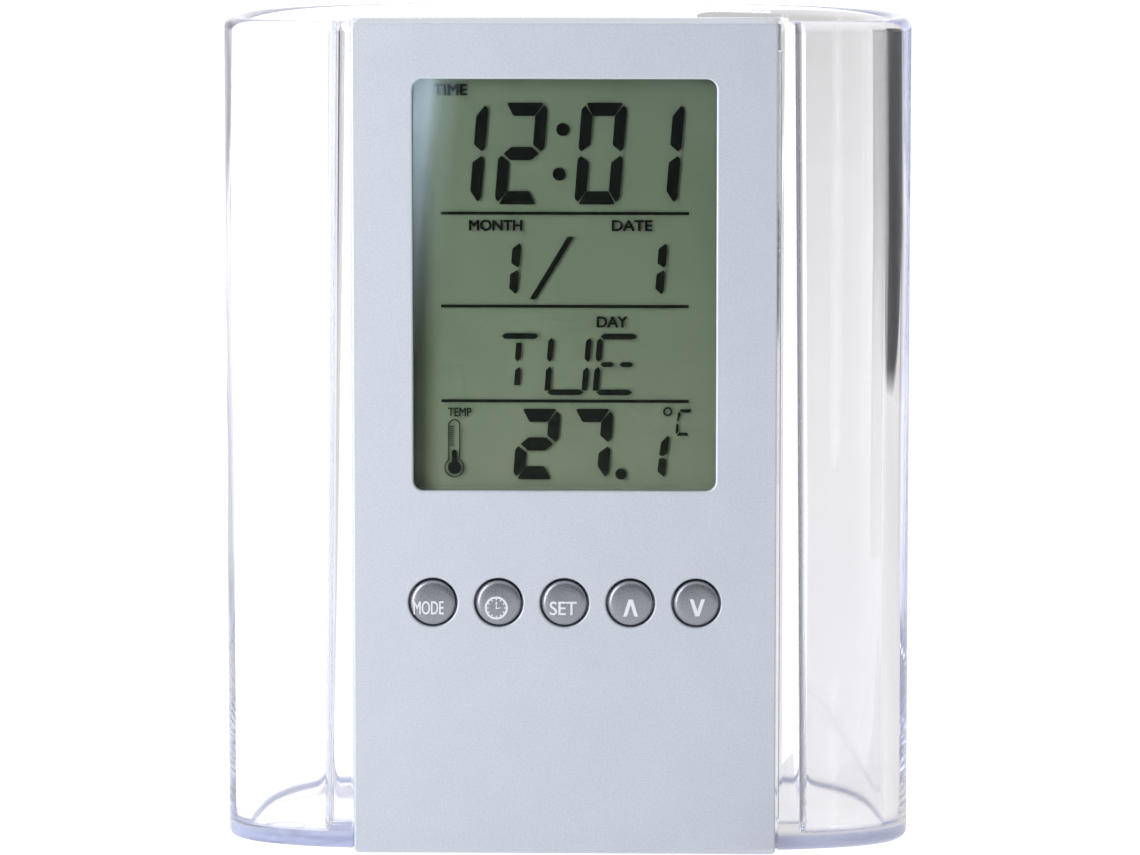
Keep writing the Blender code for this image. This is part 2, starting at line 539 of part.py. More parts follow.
# battery cover, cell and contacts
cover = rod_y("battery_cover", COVER_R, -13.55 * MM, -12.15 * MM, 0, CELL_Z, 44, 0.15 * MM)
join(cover, block("lugs", (-9.15 * MM, -13.5 * MM, CELL_Z - 1.5 * MM), (9.15 * MM, -13.1 * MM, CELL_Z + 1.5 * MM)))
cut(cover, block("coin_slot", (-5.0 * MM, -12.85 * MM, CELL_Z - 0.9 * MM), (5.0 * MM, -11.0 * MM, CELL_Z + 0.9 * MM)))
link(cover, CASE, 35, module)
link(baked(turned("button_cell", [(0, 2.7 * MM), (5.5 * MM, 2.7 * MM), (CELL_R, 2.4 * MM), (CELL_R, -1.9 * MM), (5.4 * MM, -2.2 * MM), (5.0 * MM, -2.25 * MM), (4.8 * MM, -2.7 * MM), (0, -2.7 * MM)], (0, -16.8 * MM, CELL_Z), "+Y", 32)), NICKEL, 35, module)
plus = block("contact_plus", (0.2 * MM, -19.2 * MM, 21.1 * MM), (2.4 * MM, -16.0 * MM, 21.35 * MM))
join(plus, block("plus_tail", (0.2 * MM, -16.25 * MM, 21.1 * MM), (2.4 * MM, -16.0 * MM, 29.5 * MM)))
link(plus, NICKEL, None, module)
minus = block("contact_minus", (-4.2 * MM, -20.1 * MM, 10.0 * MM), (-1.8 * MM, -19.85 * MM, 25.85 * MM))
join(minus, block("minus_step", (-4.2 * MM, -20.1 * MM, 25.6 * MM), (-1.8 * MM, -16.0 * MM, 25.85 * MM)),
     block("minus_tail", (-4.2 * MM, -16.25 * MM, 25.6 * MM), (-1.8 * MM, -16.0 * MM, 29.5 * MM)))
link(minus, NICKEL, None, module)

# screws
for k, (x, z) in enumerate(POSTS, 1):
    screw = baked(turned(f"case_screw_{k}", [(0, 0.9 * MM), (1.1 * MM, 0.85 * MM), (1.7 * MM, 0.55 * MM), (1.85 * MM, 0.2 * MM), (1.85 * MM, 0), (0.75 * MM, 0), (0.75 * MM, -5.6 * MM), (0.2 * MM, -6.4 * MM), (0, -6.4 * MM)], (x, -13.1 * MM, z), "+Y", 16))
    cut(screw, block("cross_a", (x - 1.0 * MM, -12.55 * MM, z - 0.18 * MM), (x + 1.0 * MM, -11.5 * MM, z + 0.18 * MM)),
        block("cross_b", (x - 0.18 * MM, -12.55 * MM, z - 1.0 * MM), (x + 0.18 * MM, -11.5 * MM, z + 1.0 * MM)))
    link(screw, STEEL, 35, module)
for k, (x, z) in enumerate(BOARD_SCREWS, 1):
    screw = turned(f"board_screw_{k}", [(0, 0.7 * MM), (1.0 * MM, 0.65 * MM), (1.5 * MM, 0.4 * MM), (1.6 * MM, 0), (0.75 * MM, 0), (0.75 * MM, -2.6 * MM), (0.3 * MM, -3.2 * MM), (0, -3.2 * MM)], (x, -16.3 * MM, z), "+Y", 12)
    link(baked(screw), STEEL, 35, module)
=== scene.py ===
"""Looks for the pen holder clock: a clear D-shaped cup, and the silver LCD clock module in
its front slot. Metres, +Z up, the display faces -Y."""

import math

import bmesh
import bpy
from mathutils import Matrix, Vector


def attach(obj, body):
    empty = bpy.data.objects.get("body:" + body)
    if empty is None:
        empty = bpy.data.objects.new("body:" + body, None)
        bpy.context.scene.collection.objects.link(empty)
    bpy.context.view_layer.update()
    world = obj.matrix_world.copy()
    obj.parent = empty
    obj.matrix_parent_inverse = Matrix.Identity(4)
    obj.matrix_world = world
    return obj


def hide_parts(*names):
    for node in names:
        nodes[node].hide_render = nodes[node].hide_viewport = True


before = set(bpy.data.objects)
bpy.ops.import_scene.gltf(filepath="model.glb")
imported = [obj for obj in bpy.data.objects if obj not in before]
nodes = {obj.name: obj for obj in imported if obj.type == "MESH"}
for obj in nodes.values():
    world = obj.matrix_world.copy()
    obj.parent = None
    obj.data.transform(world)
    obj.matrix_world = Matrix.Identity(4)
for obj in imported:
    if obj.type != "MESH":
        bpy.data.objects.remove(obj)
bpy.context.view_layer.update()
scene = bpy.context.scene
MM = 0.001


# =====================================================================================
# Node-tree helpers
# =====================================================================================
def new_material(name):
    mat = bpy.data.materials.new(name)
    mat.use_nodes = True
    tree = mat.node_tree
    shader = tree.nodes["Principled BSDF"]
    return mat, tree, shader


def add(tree, kind, **values):
    node = tree.nodes.new(kind)
    for key, value in values.items():
        if hasattr(node, key):
            setattr(node, key, value)
        else:
            node.inputs[key.replace("_", " ")].default_value = value
    return node


def object_coords(tree, scale=(1, 1, 1)):
    """Object coordinates in metres, stretched by scale."""
    coord = tree.nodes.new("ShaderNodeTexCoord")
    mapping = tree.nodes.new("ShaderNodeMapping")
    mapping.inputs["Scale"].default_value = scale
    tree.links.new(coord.outputs["Object"], mapping.inputs["Vector"])
    return mapping.outputs["Vector"]


def noise(tree, vector, scale, detail=3.0, rough=0.5, distortion=0.0):
    node = tree.nodes.new("ShaderNodeTexNoise")
    node.inputs["Scale"].default_value = scale
    node.inputs["Detail"].default_value = detail
    node.inputs["Roughness"].default_value = rough
    node.inputs["Distortion"].default_value = distortion
    tree.links.new(vector, node.inputs["Vector"])
    return node.outputs["Fac"]


def ramp(tree, fac, stops):
    """A colour ramp. Each stop is (position, grey or colour)."""
    node = tree.nodes.new("ShaderNodeValToRGB")
    elements = node.color_ramp.elements
    while len(elements) < len(stops):
        elements.new(0.5)
    for element, (pos, colour) in zip(elements, stops):
        element.position = pos
        if not isinstance(colour, (tuple, list)):
            colour = (colour, colour, colour)
        element.color = (*colour, 1.0)
    tree.links.new(fac, node.inputs["Fac"])
    return node.outputs["Color"]


def span(tree, fac, low, high, from_low=0.0, from_high=1.0):
    node = tree.nodes.new("ShaderNodeMapRange")
    node.inputs["From Min"].default_value = from_low
    node.inputs["From Max"].default_value = from_high
    node.inputs["To Min"].default_value = low
    node.inputs["To Max"].default_value = high
    tree.links.new(fac, node.inputs["Value"])
    return node.outputs["Result"]


def bump(tree, height, distance, strength=1.0, normal=None):
    node = tree.nodes.new("ShaderNodeBump")
    node.inputs["Distance"].default_value = distance
    node.inputs["Strength"].default_value = strength
    tree.links.new(height, node.inputs["Height"])
    if normal is not None:
        tree.links.new(normal, node.inputs["Normal"])
    return node.outputs["Normal"]


def arithmetic(tree, operation, a, b):
    node = tree.nodes.new("ShaderNodeMath")
    node.operation = operation
    for socket, value in zip(node.inputs, (a, b)):
        if isinstance(value, (int, float)):
            socket.default_value = value
        else:
            tree.links.new(value, socket)
    return node.outputs[0]


def bearing(degrees, distance, x=0.04, y=-0.01):
    """A point at so many degrees to the right of straight behind."""
    a = math.radians(degrees)
    return (x + distance * math.sin(a), y + distance * math.cos(a))


def blend_colours(tree, fac, a, b, mode="MIX"):
    node = tree.nodes.new("ShaderNodeMix")
    node.data_type = "RGBA"
    node.blend_type = mode
    for socket, value in (("Factor", fac), ("A", a), ("B", b)):
        target = next(s for s in node.inputs if s.name == socket and (s.type == "RGBA" or socket == "Factor" and s.type == "VALUE"))
        if isinstance(value, (int, float)):
            target.default_value = value
        elif isinstance(value, (tuple, list)):
            target.default_value = (*value, 1.0)
        else:
            tree.links.new(value, target)
    return next(s for s in node.outputs if s.type == "RGBA")


def split_xyz(tree, vector):
    node = tree.nodes.new("ShaderNodeSeparateXYZ")
    tree.links.new(vector, node.inputs["Vector"])
    return node.outputs


def let_lamps_through(mat, tint=(1, 1, 1)):
    """Clear plastic that lets light from the lamps reach what is behind it."""
    tree = mat.node_tree
    out = tree.nodes["Material Output"]
    shader = tree.nodes["Principled BSDF"]
    path = tree.nodes.new("ShaderNodeLightPath")
    clear = tree.nodes.new("ShaderNodeBsdfTransparent")
    clear.inputs["Color"].default_value = (*tint, 1)
    mix = tree.nodes.new("ShaderNodeMixShader")
    tree.links.new(path.outputs["Is Shadow Ray"], mix.inputs[0])
    tree.links.new(shader.outputs["BSDF"], mix.inputs[1])
    tree.links.new(clear.outputs["BSDF"], mix.inputs[2])
    tree.links.new(mix.outputs["Shader"], out.inputs["Surface"])


# =====================================================================================
# Materials
# =====================================================================================
def clear_plastic(name, absorb, density, ior=1.57, rough=0.012, wave=0.00002, tint=(1, 1, 1), painted_edge_bands=(), cloud=0.0):
    """Polished clear moulding: flow waves too shallow to see but in its reflections, fine handling scratches, and a
    faint colour that shows only where light runs far in it. The painted edge bands and the cloud share paint a blue
    glow into the thick base and a faint tint at the rim."""
    mat, tree, shader = new_material(name)
    shader.inputs["Base Color"].default_value = (*tint, 1)
    shader.inputs["Transmission Weight"].default_value = 1.0
    shader.inputs["IOR"].default_value = ior
    long_coords = object_coords(tree, (1, 1, 0.22))
    flow = noise(tree, long_coords, 90, 1.5, 0.4)
    scuffs = noise(tree, object_coords(tree, (1, 1, 0.12)), 900, 5, 0.65, 0.6)
    shader.inputs["Roughness"].default_value = rough
    tree.links.new(span(tree, scuffs, rough * 0.4, rough * 3.2, 0.45, 0.8), shader.inputs["Roughness"])
    if wave:
        tree.links.new(bump(tree, flow, wave, 0.6), shader.inputs["Normal"])
    if density:
        volume = tree.nodes.new("ShaderNodeVolumeAbsorption")
        volume.inputs["Color"].default_value = (*absorb, 1)
        volume.inputs["Density"].default_value = density
        tree.links.new(volume.outputs["Volume"], tree.nodes["Material Output"].inputs["Volume"])
    # painted tint: on upright faces the base colour turns blue-violet in the thick base and faintly blue at the rim,
    # standing in for the colour that light running far in the edge shows
    if painted_edge_bands:
        height = split_xyz(tree, object_coords(tree))[2]
        level = split_xyz(tree, tree.nodes.new("ShaderNodeNewGeometry").outputs["Normal"])[2]
        flat = add(tree, "ShaderNodeMath")
        flat.operation = "ABSOLUTE"
        tree.links.new(level, flat.inputs[0])
        faint = span(tree, flat.outputs[0], 0, 1, 0.85, 0.97)
        if cloud:
            # painted glow: the thick base is made partly diffuse in the blue of the painted edge bands, so it shows a
            # blue light that stands in for the light running inside the thick edge
            low = ramp(tree, span(tree, height, 0, 1, 0.0, 0.0026), ((0.0, 1.0), (0.72, 1.0), (0.95, 0.0)))
            upright = span(tree, faint, 1.0, 0.0)
            drift = span(tree, noise(tree, object_coords(tree, (1, 1, 2.5)), 130, 2, 0.5, 0.8), 0.62, 1.0, 0.36, 0.62)
            share = arithmetic(tree, "MULTIPLY", arithmetic(tree, "MULTIPLY", low, upright), arithmetic(tree, "MULTIPLY", drift, cloud))
            tree.links.new(arithmetic(tree, "SUBTRACT", 1.0, share), shader.inputs["Transmission Weight"])
        tree.links.new(blend_colours(tree, faint, ramp(tree, span(tree, height, 0, 1, 0, 0.1), painted_edge_bands), (0.99, 0.99, 1.0)), shader.inputs["Base Color"])
    let_lamps_through(mat, (0.97, 0.975, 0.99))
    return mat


def silver_paint(name, base, metallic, rough, flake=0.10, grain=0.000012):
    """Metallic paint: fine flakes, a slow mottle, and orange peel in the gloss."""
    mat, tree, shader = new_material(name)
    coords = object_coords(tree)
    flakes = noise(tree, coords, 5200, 2, 0.7)
    mottle = noise(tree, coords, 160, 3, 0.55)
    low = tuple(c * (1 - flake) for c in base)
    high = tuple(min(1, c * (1 + flake)) for c in base)
    fine = blend_colours(tree, span(tree, flakes, 0, 1, 0.3, 0.7), low, high)
    cloudy = ramp(tree, mottle, ((0.3, (0.965, 0.968, 0.975)), (0.7, (1.0, 1.0, 1.0))))
    tree.links.new(blend_colours(tree, 1.0, fine, cloudy, "MULTIPLY"), shader.inputs["Base Color"])
    shader.inputs["Metallic"].default_value = metallic
    tree.links.new(span(tree, flakes, rough - 0.05, rough + 0.07, 0.3, 0.7), shader.inputs["Roughness"])
    tree.links.new(bump(tree, flakes, grain, 0.5), shader.inputs["Normal"])
    return mat


def moulded(name, base, rough, metallic=0.0, vary=0.06, scale=1400, grain=0.00001, coat=0.0):
    """Moulded plastic or rubber with a spark-eroded grain."""
    mat, tree, shader = new_material(name)
    coords = object_coords(tree)
    grit = noise(tree, coords, scale, 4, 0.6)
    patch = noise(tree, coords, 120, 2, 0.5)
    low = tuple(c * (1 - vary) for c in base)
    high = tuple(min(1, c * (1 + vary)) for c in base)
    tree.links.new(blend_colours(tree, span(tree, patch, 0, 1, 0.3, 0.7), low, high), shader.inputs["Base Color"])
    shader.inputs["Metallic"].default_value = metallic
    shader.inputs["Coat Weight"].default_value = coat
    tree.links.new(span(tree, grit, max(0.02, rough - 0.08), rough + 0.08, 0.3, 0.7), shader.inputs["Roughness"])
    tree.links.new(bump(tree, grit, grain, 0.6), shader.inputs["Normal"])
    return mat


def brushed(name, base, rough, axis_scale=(1, 1, 40)):
    """Plated or turned metal with a fine directional grain."""
    mat, tree, shader = new_material(name)
    lines = noise(tree, object_coords(tree, axis_scale), 900, 3, 0.6)
    low = tuple(c * 0.88 for c in base)
    tree.links.new(blend_colours(tree, span(tree, lines, 0, 1, 0.3, 0.7), low, base), shader.inputs["Base Color"])
    shader.inputs["Metallic"].default_value = 1.0
    tree.links.new(span(tree, lines, rough * 0.7, rough * 1.4, 0.3, 0.7), shader.inputs["Roughness"])
    tree.links.new(bump(tree, lines, 0.000004, 0.5), shader.inputs["Normal"])
    return mat


def lcd_ground():
    """The grey-green ground of the display, a little warmer and lighter towards the bottom and darker at the top:
    painted shade for how light falls on it.
    """
    mat, tree, shader = new_material("lcd_ground")
    coords = object_coords(tree)
    height = split_xyz(tree, coords)[2]
    # painted shade: the ground darkens from the bottom of the display to its top
    painted_height_shade = ramp(tree, span(tree, height, 0, 1, 0.043, 0.095), (
        (0.0, (0.190, 0.206, 0.152)), (0.35, (0.150, 0.172, 0.124)), (0.75, (0.134, 0.156, 0.114)), (1.0, (0.128, 0.152, 0.114))))
    cloud = noise(tree, coords, 95, 3, 0.6)
    tree.links.new(blend_colours(tree, 1.0, painted_height_shade, ramp(tree, cloud, ((0.3, 0.93), (0.7, 1.0))), "MULTIPLY"), shader.inputs["Base Color"])
    shader.inputs["Roughness"].default_value = 0.45
    shader.inputs["Specular IOR Level"].default_value = 0.2
    grit = noise(tree, coords, 6000, 2, 0.5)
    tree.links.new(bump(tree, grit, 0.000004, 0.4), shader.inputs["Normal"])
    return mat


def lcd_ink():
    """Driven segments: almost black, with a trace of green from the ground behind, and lighter towards the bottom:
    painted shade for how light falls on the display.
    """
    mat, tree, shader = new_material("lcd_ink")
    coords = object_coords(tree)
    height = split_xyz(tree, coords)[2]
    # painted shade: the segments darken from the bottom of the display to its top
    painted_height_shade = ramp(tree, span(tree, height, 0, 1, 0.045, 0.091), ((0.0, (0.012, 0.013, 0.011)), (0.5, (0.006, 0.007, 0.006)), (1.0, (0.003, 0.004, 0.004))))
    cloud = noise(tree, coords, 400, 2, 0.5)
    tree.links.new(blend_colours(tree, 1.0, painted_height_shade, ramp(tree, cloud, ((0.3, 0.85), (0.7, 1.0))), "MULTIPLY"), shader.inputs["Base Color"])
    shader.inputs["Roughness"].default_value = 0.6
    shader.inputs["Specular IOR Level"].default_value = 0.03
    return mat


# the cup's painted edge bands: a painted blue-violet tint and painted glow on the thick base, and a faint painted tint
# at the rim
CUP = clear_plastic("clear_cup", (0.33, 0.36, 0.74), 2.2, painted_edge_bands=(
    (0.0, (0.39, 0.42, 0.60)), (0.019, (0.39, 0.42, 0.60)), (0.026, (0.985, 0.985, 1.0)), (0.98, (0.995, 0.995, 1.0)), (1.0, (0.96, 0.963, 0.995))), cloud=0.72)
PAD = clear_plastic("foot_pad", (0.6, 0.65, 0.8), 20.0, 1.45, 0.12, 0)
LENS = clear_plastic("lens", (0.8, 0.9, 0.85), 0, 1.38, 0.01, 0)
SILVER = silver_paint("silver_paint", (0.50, 0.53, 0.588), 0.35, 0.42)
SILVER_CASE = silver_paint("silver_case", (0.50, 0.525, 0.575), 0.25, 0.5, 0.05)
KEY = silver_paint("key_paint", (0.255, 0.262, 0.295), 0.75, 0.30, 0.08)
PRINT = moulded("key_print", (0.62, 0.63, 0.66), 0.5)
GROUND = lcd_ground()
INK = lcd_ink()
WHITE = moulded("frame_plastic", (0.72, 0.72, 0.70), 0.45)
ZEBRA = moulded("zebra_rubber", (0.05, 0.05, 0.055), 0.7)
EPOXY = moulded("epoxy", (0.012, 0.012, 0.014), 0.25, coat=0.4)
CARBON = moulded("carbon", (0.03, 0.03, 0.03), 0.8)
SILICONE = moulded("silicone", (0.42, 0.44, 0.45), 0.6)
CERAMIC = moulded("ceramic", (0.60, 0.52, 0.38), 0.55)
RED = moulded("red_sleeve", (0.45, 0.02, 0.015), 0.4)
BLACK = moulded("black_sleeve", (0.015, 0.015, 0.015), 0.4)
BRASS = brushed("brass", (0.72, 0.50, 0.20), 0.28)
NICKEL = brushed("nickel", (0.66, 0.64, 0.60), 0.24)
STEEL = brushed("screw_steel", (0.56, 0.56, 0.57), 0.28)
TIN = brushed("tin", (0.70, 0.70, 0.69), 0.25)
FILM = moulded("reflector_film", (0.36, 0.41, 0.32), 0.35, 0.3)


def polariser():
    """Thin film over the display: lets light through with a slight green-grey tint."""
    mat, tree, shader = new_material("polariser")
    coords = object_coords(tree)
    clear = tree.nodes.new("ShaderNodeBsdfTransparent")
    tint = blend_colours(tree, noise(tree, coords, 60, 2, 0.5), (0.90, 0.93, 0.90), (0.95, 0.97, 0.95))
    tree.links.new(tint, clear.inputs["Color"])
    shader.inputs["Base Color"].default_value = (0.20, 0.24, 0.18, 1)
    shader.inputs["Roughness"].default_value = 0.3
    mix = tree.nodes.new("ShaderNodeMixShader")
    mix.inputs[0].default_value = 0.004
    tree.links.new(clear.outputs["BSDF"], mix.inputs[1])
    tree.links.new(shader.outputs["BSDF"], mix.inputs[2])
    tree.links.new(mix.outputs["Shader"], tree.nodes["Material Output"].inputs["Surface"])
    return mat


def circuit():
    """Green laminate with copper tracks under the mask."""
    mat, tree, shader = new_material("laminate")
    coords = object_coords(tree)
    brick = tree.nodes.new("ShaderNodeTexBrick")
    brick.inputs["Scale"].default_value = 220
    brick.inputs["Mortar Size"].default_value = 0.012
    brick.inputs["Color1"].default_value = (0.02, 0.13, 0.05, 1)
    brick.inputs["Color2"].default_value = (0.02, 0.15, 0.06, 1)
    brick.inputs["Mortar"].default_value = (0.06, 0.28, 0.12, 1)
    tree.links.new(coords, brick.inputs["Vector"])
    cloud = ramp(tree, noise(tree, coords, 200, 3, 0.6), ((0.3, 0.8), (0.7, 1.0)))
    tree.links.new(blend_colours(tree, 1.0, brick.outputs["Color"], cloud, "MULTIPLY"), shader.inputs["Base Color"])
    shader.inputs["Roughness"].default_value = 0.3
    tree.links.new(bump(tree, brick.outputs["Fac"], 0.00003, 0.4), shader.inputs["Normal"])
    return mat


POLAR = polariser()
LAMINATE = circuit()


# =====================================================================================
# Mesh helpers
# =====================================================================================
def finish_mesh(obj, material, smooth=None):
    obj.data.materials.clear()
    obj.data.materials.append(material)
    if smooth is not None:
        obj.data.shade_smooth()
        obj.data.set_sharp_from_angle(angle=math.radians(smooth))
    return obj


def from_bmesh(name, bm):
    mesh = bpy.data.meshes.new(name)
    bm.to_mesh(mesh)
    bm.free()
    obj = bpy.data.objects.new(name, mesh)
    scene.collection.objects.link(obj)
    return obj


def evaluated(obj, weld=0.0):
    """The object as a plain mesh, its modifiers applied."""
    bpy.context.view_layer.update()
    graph = bpy.context.evaluated_depsgraph_get()
    mesh = bpy.data.meshes.new_from_object(obj.evaluated_get(graph))
    if weld:
        bm = bmesh.new()
        bm.from_mesh(mesh)
        bmesh.ops.remove_doubles(bm, verts=bm.verts, dist=weld)
        bmesh.ops.recalc_face_normals(bm, faces=bm.faces)
        bm.to_mesh(mesh)
        bm.free()
    fresh = bpy.data.objects.new("tmp", mesh)
    fresh.matrix_world = obj.matrix_world.copy()
    name = obj.name
    bpy.data.objects.remove(obj, do_unlink=True)
    fresh.name = name
    scene.collection.objects.link(fresh)
    return fresh


def combine(target, tools, operation):
    """Cuts tools from target, or joins them to it, and drops them."""
    for tool in tools:
        mod = target.modifiers.new(operation, "BOOLEAN")
        mod.operation = operation
        mod.solver = "EXACT"
        mod.object = tool
    result = evaluated(target, 0.000001)
    for tool in tools:
        bpy.data.objects.remove(tool, do_unlink=True)
    return result


def block(name, low, high, bevel=0.0, segments=2):
    low, high = Vector(low), Vector(high)
    bm = bmesh.new()
    bmesh.ops.create_cube(bm, size=1.0)
    bmesh.ops.scale(bm, vec=high - low, verts=bm.verts)
    bmesh.ops.translate(bm, vec=(low + high) / 2, verts=bm.verts)
    if bevel:
        bmesh.ops.bevel(bm, geom=list(bm.edges), offset=bevel, segments=segments, affect="EDGES", profile=0.5)
    return from_bmesh(name, bm)


def rod_y(name, radius, y0, y1, x, z, segments=48):
    bm = bmesh.new()
    bmesh.ops.create_cone(bm, cap_ends=True, segments=segments, radius1=radius, radius2=radius, depth=abs(y1 - y0))
    bmesh.ops.rotate(bm, cent=(0, 0, 0), matrix=Matrix.Rotation(math.radians(90), 3, "X"), verts=bm.verts)
    bmesh.ops.translate(bm, vec=(x, (y0 + y1) / 2, z), verts=bm.verts)
    return from_bmesh(name, bm)


def spin(name, profile, centre, steps=64, forward=True):
    """A turned piece about the Y axis. The profile is (radius, distance out of the front)."""
    bm = bmesh.new()
    rings = []
    for radius, out in profile:
        y = -out if forward else out
        if radius < 1e-9:
            rings.append([bm.verts.new((0, y, 0))])
        else:
            rings.append([
                bm.verts.new((radius * math.cos(2 * math.pi * k / steps), y, radius * math.sin(2 * math.pi * k / steps)))
                for k in range(steps)
            ])
    for a, b in zip(rings, rings[1:]):
        for k in range(steps):
            n = (k + 1) % steps
            if len(a) == 1:
                bm.faces.new((a[0], b[k], b[n]))
            elif len(b) == 1:
                bm.faces.new((a[n], a[k], b[0]))
            else:
                bm.faces.new((a[k], b[k], b[n], a[n]))
    bmesh.ops.recalc_face_normals(bm, faces=bm.faces)
    bmesh.ops.translate(bm, vec=centre, verts=bm.verts)
    return from_bmesh(name, bm)


def rounded_rectangle(half_x, low, high, radius, steps=12):
    points = []
    for cx, cy, start in (
        (half_x - radius, high - radius, 0),
        (-half_x + radius, high - radius, 90),
        (-half_x + radius, low + radius, 180),
        (half_x - radius, low + radius, 270),
    ):
        for k in range(steps + 1):
            a = math.radians(start + 90 * k / steps)
            points.append((cx + radius * math.cos(a), cy + radius * math.sin(a)))
    return points


def circle(cx, cy, radius, count=72):
    return [
        (cx + radius * math.cos(2 * math.pi * k / count), cy + radius * math.sin(2 * math.pi * k / count))
        for k in range(count)
    ]


def sheet(name, outlines, y_front, y_back, edge=0.0, edge_steps=0):
    """A flat piece facing -Y, cut to (x, z) outlines, with rounded edges."""
    curve = bpy.data.curves.new(name, "CURVE")
    curve.dimensions = "2D"
    curve.fill_mode = "BOTH"
    curve.extrude = (y_back - y_front) / 2 - edge
    curve.bevel_depth = edge
    curve.bevel_resolution = edge_steps
    curve.offset = -edge
    for outline in outlines:
        spline = curve.splines.new("POLY")
        spline.points.add(len(outline) - 1)
        for point, (x, z) in zip(spline.points, outline):
            point.co = (x, z, 0, 1)
        spline.use_cyclic_u = True
    obj = bpy.data.objects.new(name, curve)
    obj.location = (0, (y_front + y_back) / 2, 0)
    obj.rotation_euler = (math.radians(90), 0, 0)
    scene.collection.objects.link(obj)
    obj = evaluated(obj, 0.000002)
    obj.data.transform(obj.matrix_world)
    obj.matrix_world = Matrix.Identity(4)
    return obj


def marks(name, shapes, y_front, thick, material, body):
    """Flat marks that face -Y, each an outline in mm with optional holes, as one piece."""
    curve = bpy.data.curves.new(name, "CURVE")
    curve.dimensions = "2D"
    curve.fill_mode = "BOTH"
    curve.extrude = thick / 2
    for outline in shapes:
        spline = curve.splines.new("POLY")
        spline.points.add(len(outline) - 1)
        for point, (x, z) in zip(spline.points, outline):
            point.co = (x * MM, z * MM, 0, 1)
        spline.use_cyclic_u = True
    obj = bpy.data.objects.new(name, curve)
    obj.location = (0, y_front + thick / 2, 0)
    obj.rotation_euler = (math.radians(90), 0, 0)
    scene.collection.objects.link(obj)
    obj = evaluated(obj, 0.000001)
    obj.data.transform(obj.matrix_world)
    obj.matrix_world = Matrix.Identity(4)
    finish_mesh(obj, material)
    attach(obj, body)
    return obj


def word(name, text, x0, x1, z_base, height, y_front, thick, material, body, heavy=()):
    """A printed word, fitted between x0 and x1 and to its capital height, all in mm. The
    steps in heavy thicken its strokes."""
    curve = bpy.data.curves.new(name, "FONT")
    curve.body = text
    curve.size = 1.0
    curve.resolution_u = 6
    obj = bpy.data.objects.new(name, curve)
    scene.collection.objects.link(obj)
    obj = evaluated(obj)
    xs = [v.co.x for v in obj.data.vertices]
    ys = [v.co.y for v in obj.data.vertices]
    bm = bmesh.new()
    bm.from_mesh(obj.data)
    bmesh.ops.translate(bm, vec=(-min(xs), -min(ys), 0), verts=bm.verts)
    sx = (x1 - x0) * MM / (max(xs) - min(xs))
    sy = height * MM / (max(ys) - min(ys))
    for v in bm.verts:
        v.co = Vector((v.co.x * sx + x0 * MM, y_front + thick, v.co.y * sy + z_base * MM))
    bmesh.ops.remove_doubles(bm, verts=bm.verts, dist=0.0000005)
    faces = list(bm.faces)
    out = bmesh.ops.extrude_face_region(bm, geom=faces)
    bmesh.ops.translate(bm, vec=(0, -thick, 0), verts=[v for v in out["geom"] if isinstance(v, bmesh.types.BMVert)])
    bmesh.ops.recalc_face_normals(bm, faces=bm.faces)
    whole = list(bm.verts) + list(bm.edges) + list(bm.faces)
    for k, step in enumerate(heavy):
        twin = bmesh.ops.duplicate(bm, geom=whole)
        moved = [v for v in twin["geom"] if isinstance(v, bmesh.types.BMVert)]
        bmesh.ops.translate(bm, vec=(step[0] * MM, 0.003 * MM * (k + 1), step[1] * MM), verts=moved)
    bm.to_mesh(obj.data)
    bm.free()
    finish_mesh(obj, material)
    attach(obj, body)
    return obj


# =====================================================================================
# The cup
# =====================================================================================
HEIGHT, WIDTH = 100.0 * MM, 83.0 * MM
TIP_Y, FRONT_DEPTH, BACK_DEPTH = -8.25 * MM, 15.0 * MM, 33.0 * MM
FRONT_POWER, BACK_POWER = 3.3, 2.33
WALL_TOP, WALL_BOTTOM = 2.5 * MM, 2.7 * MM
BASE_Z, FLOOR_Z, CAVITY_FLOOR_Z = 0.2 * MM, 2.4 * MM, 1.9 * MM
POCKET_HALF, POCKET_BACK, APRON_BACK = 25.65 * MM, -11.75 * MM, -20.6 * MM
SIDE_TOP, SIDE_BOTTOM = 1.35 * MM, 2.35 * MM
RIB_REACH, RIB_FRONT, RIB_BACK, RIB_TOP = 1.2 * MM, -21.85 * MM, -19.25 * MM, 96.5 * MM


def half_turn(first, last, count, inset):
    a, front, back = WIDTH / 2 - inset, FRONT_DEPTH - inset, BACK_DEPTH - inset
    points = []
    for k in range(count):
        t = first + (last - first) * k / (count - 1)
        c, s = math.cos(t), math.sin(t)
        power, depth = (BACK_POWER, back) if s > 0 else (FRONT_POWER, front)
        points.append((
            a * math.copysign(abs(c) ** (2 / power), c),
            TIP_Y + depth * math.copysign(abs(s) ** (2 / power), s),
        ))
    return points


def even_loop(points, count, ring=True):
    """The same outline with evenly spaced points."""
    lengths = [0.0]
    closed = points + points[:1] if ring else points
    for p, q in zip(closed, closed[1:]):
        lengths.append(lengths[-1] + math.hypot(q[0] - p[0], q[1] - p[1]))
    total, out, i = lengths[-1], [], 0
    for k in range(count):
        d = total * k / (count if ring else count - 1)
        while i < len(lengths) - 2 and lengths[i + 1] < d:
            i += 1
        f = (d - lengths[i]) / (lengths[i + 1] - lengths[i])
        p, q = closed[i], closed[i + 1]
        out.append((p[0] + (q[0] - p[0]) * f, p[1] + (q[1] - p[1]) * f))
    return out


def outer_loop(inset, count=480):
    return even_loop(half_turn(-math.pi / 2, 1.5 * math.pi, 1201, inset)[:-1], count)


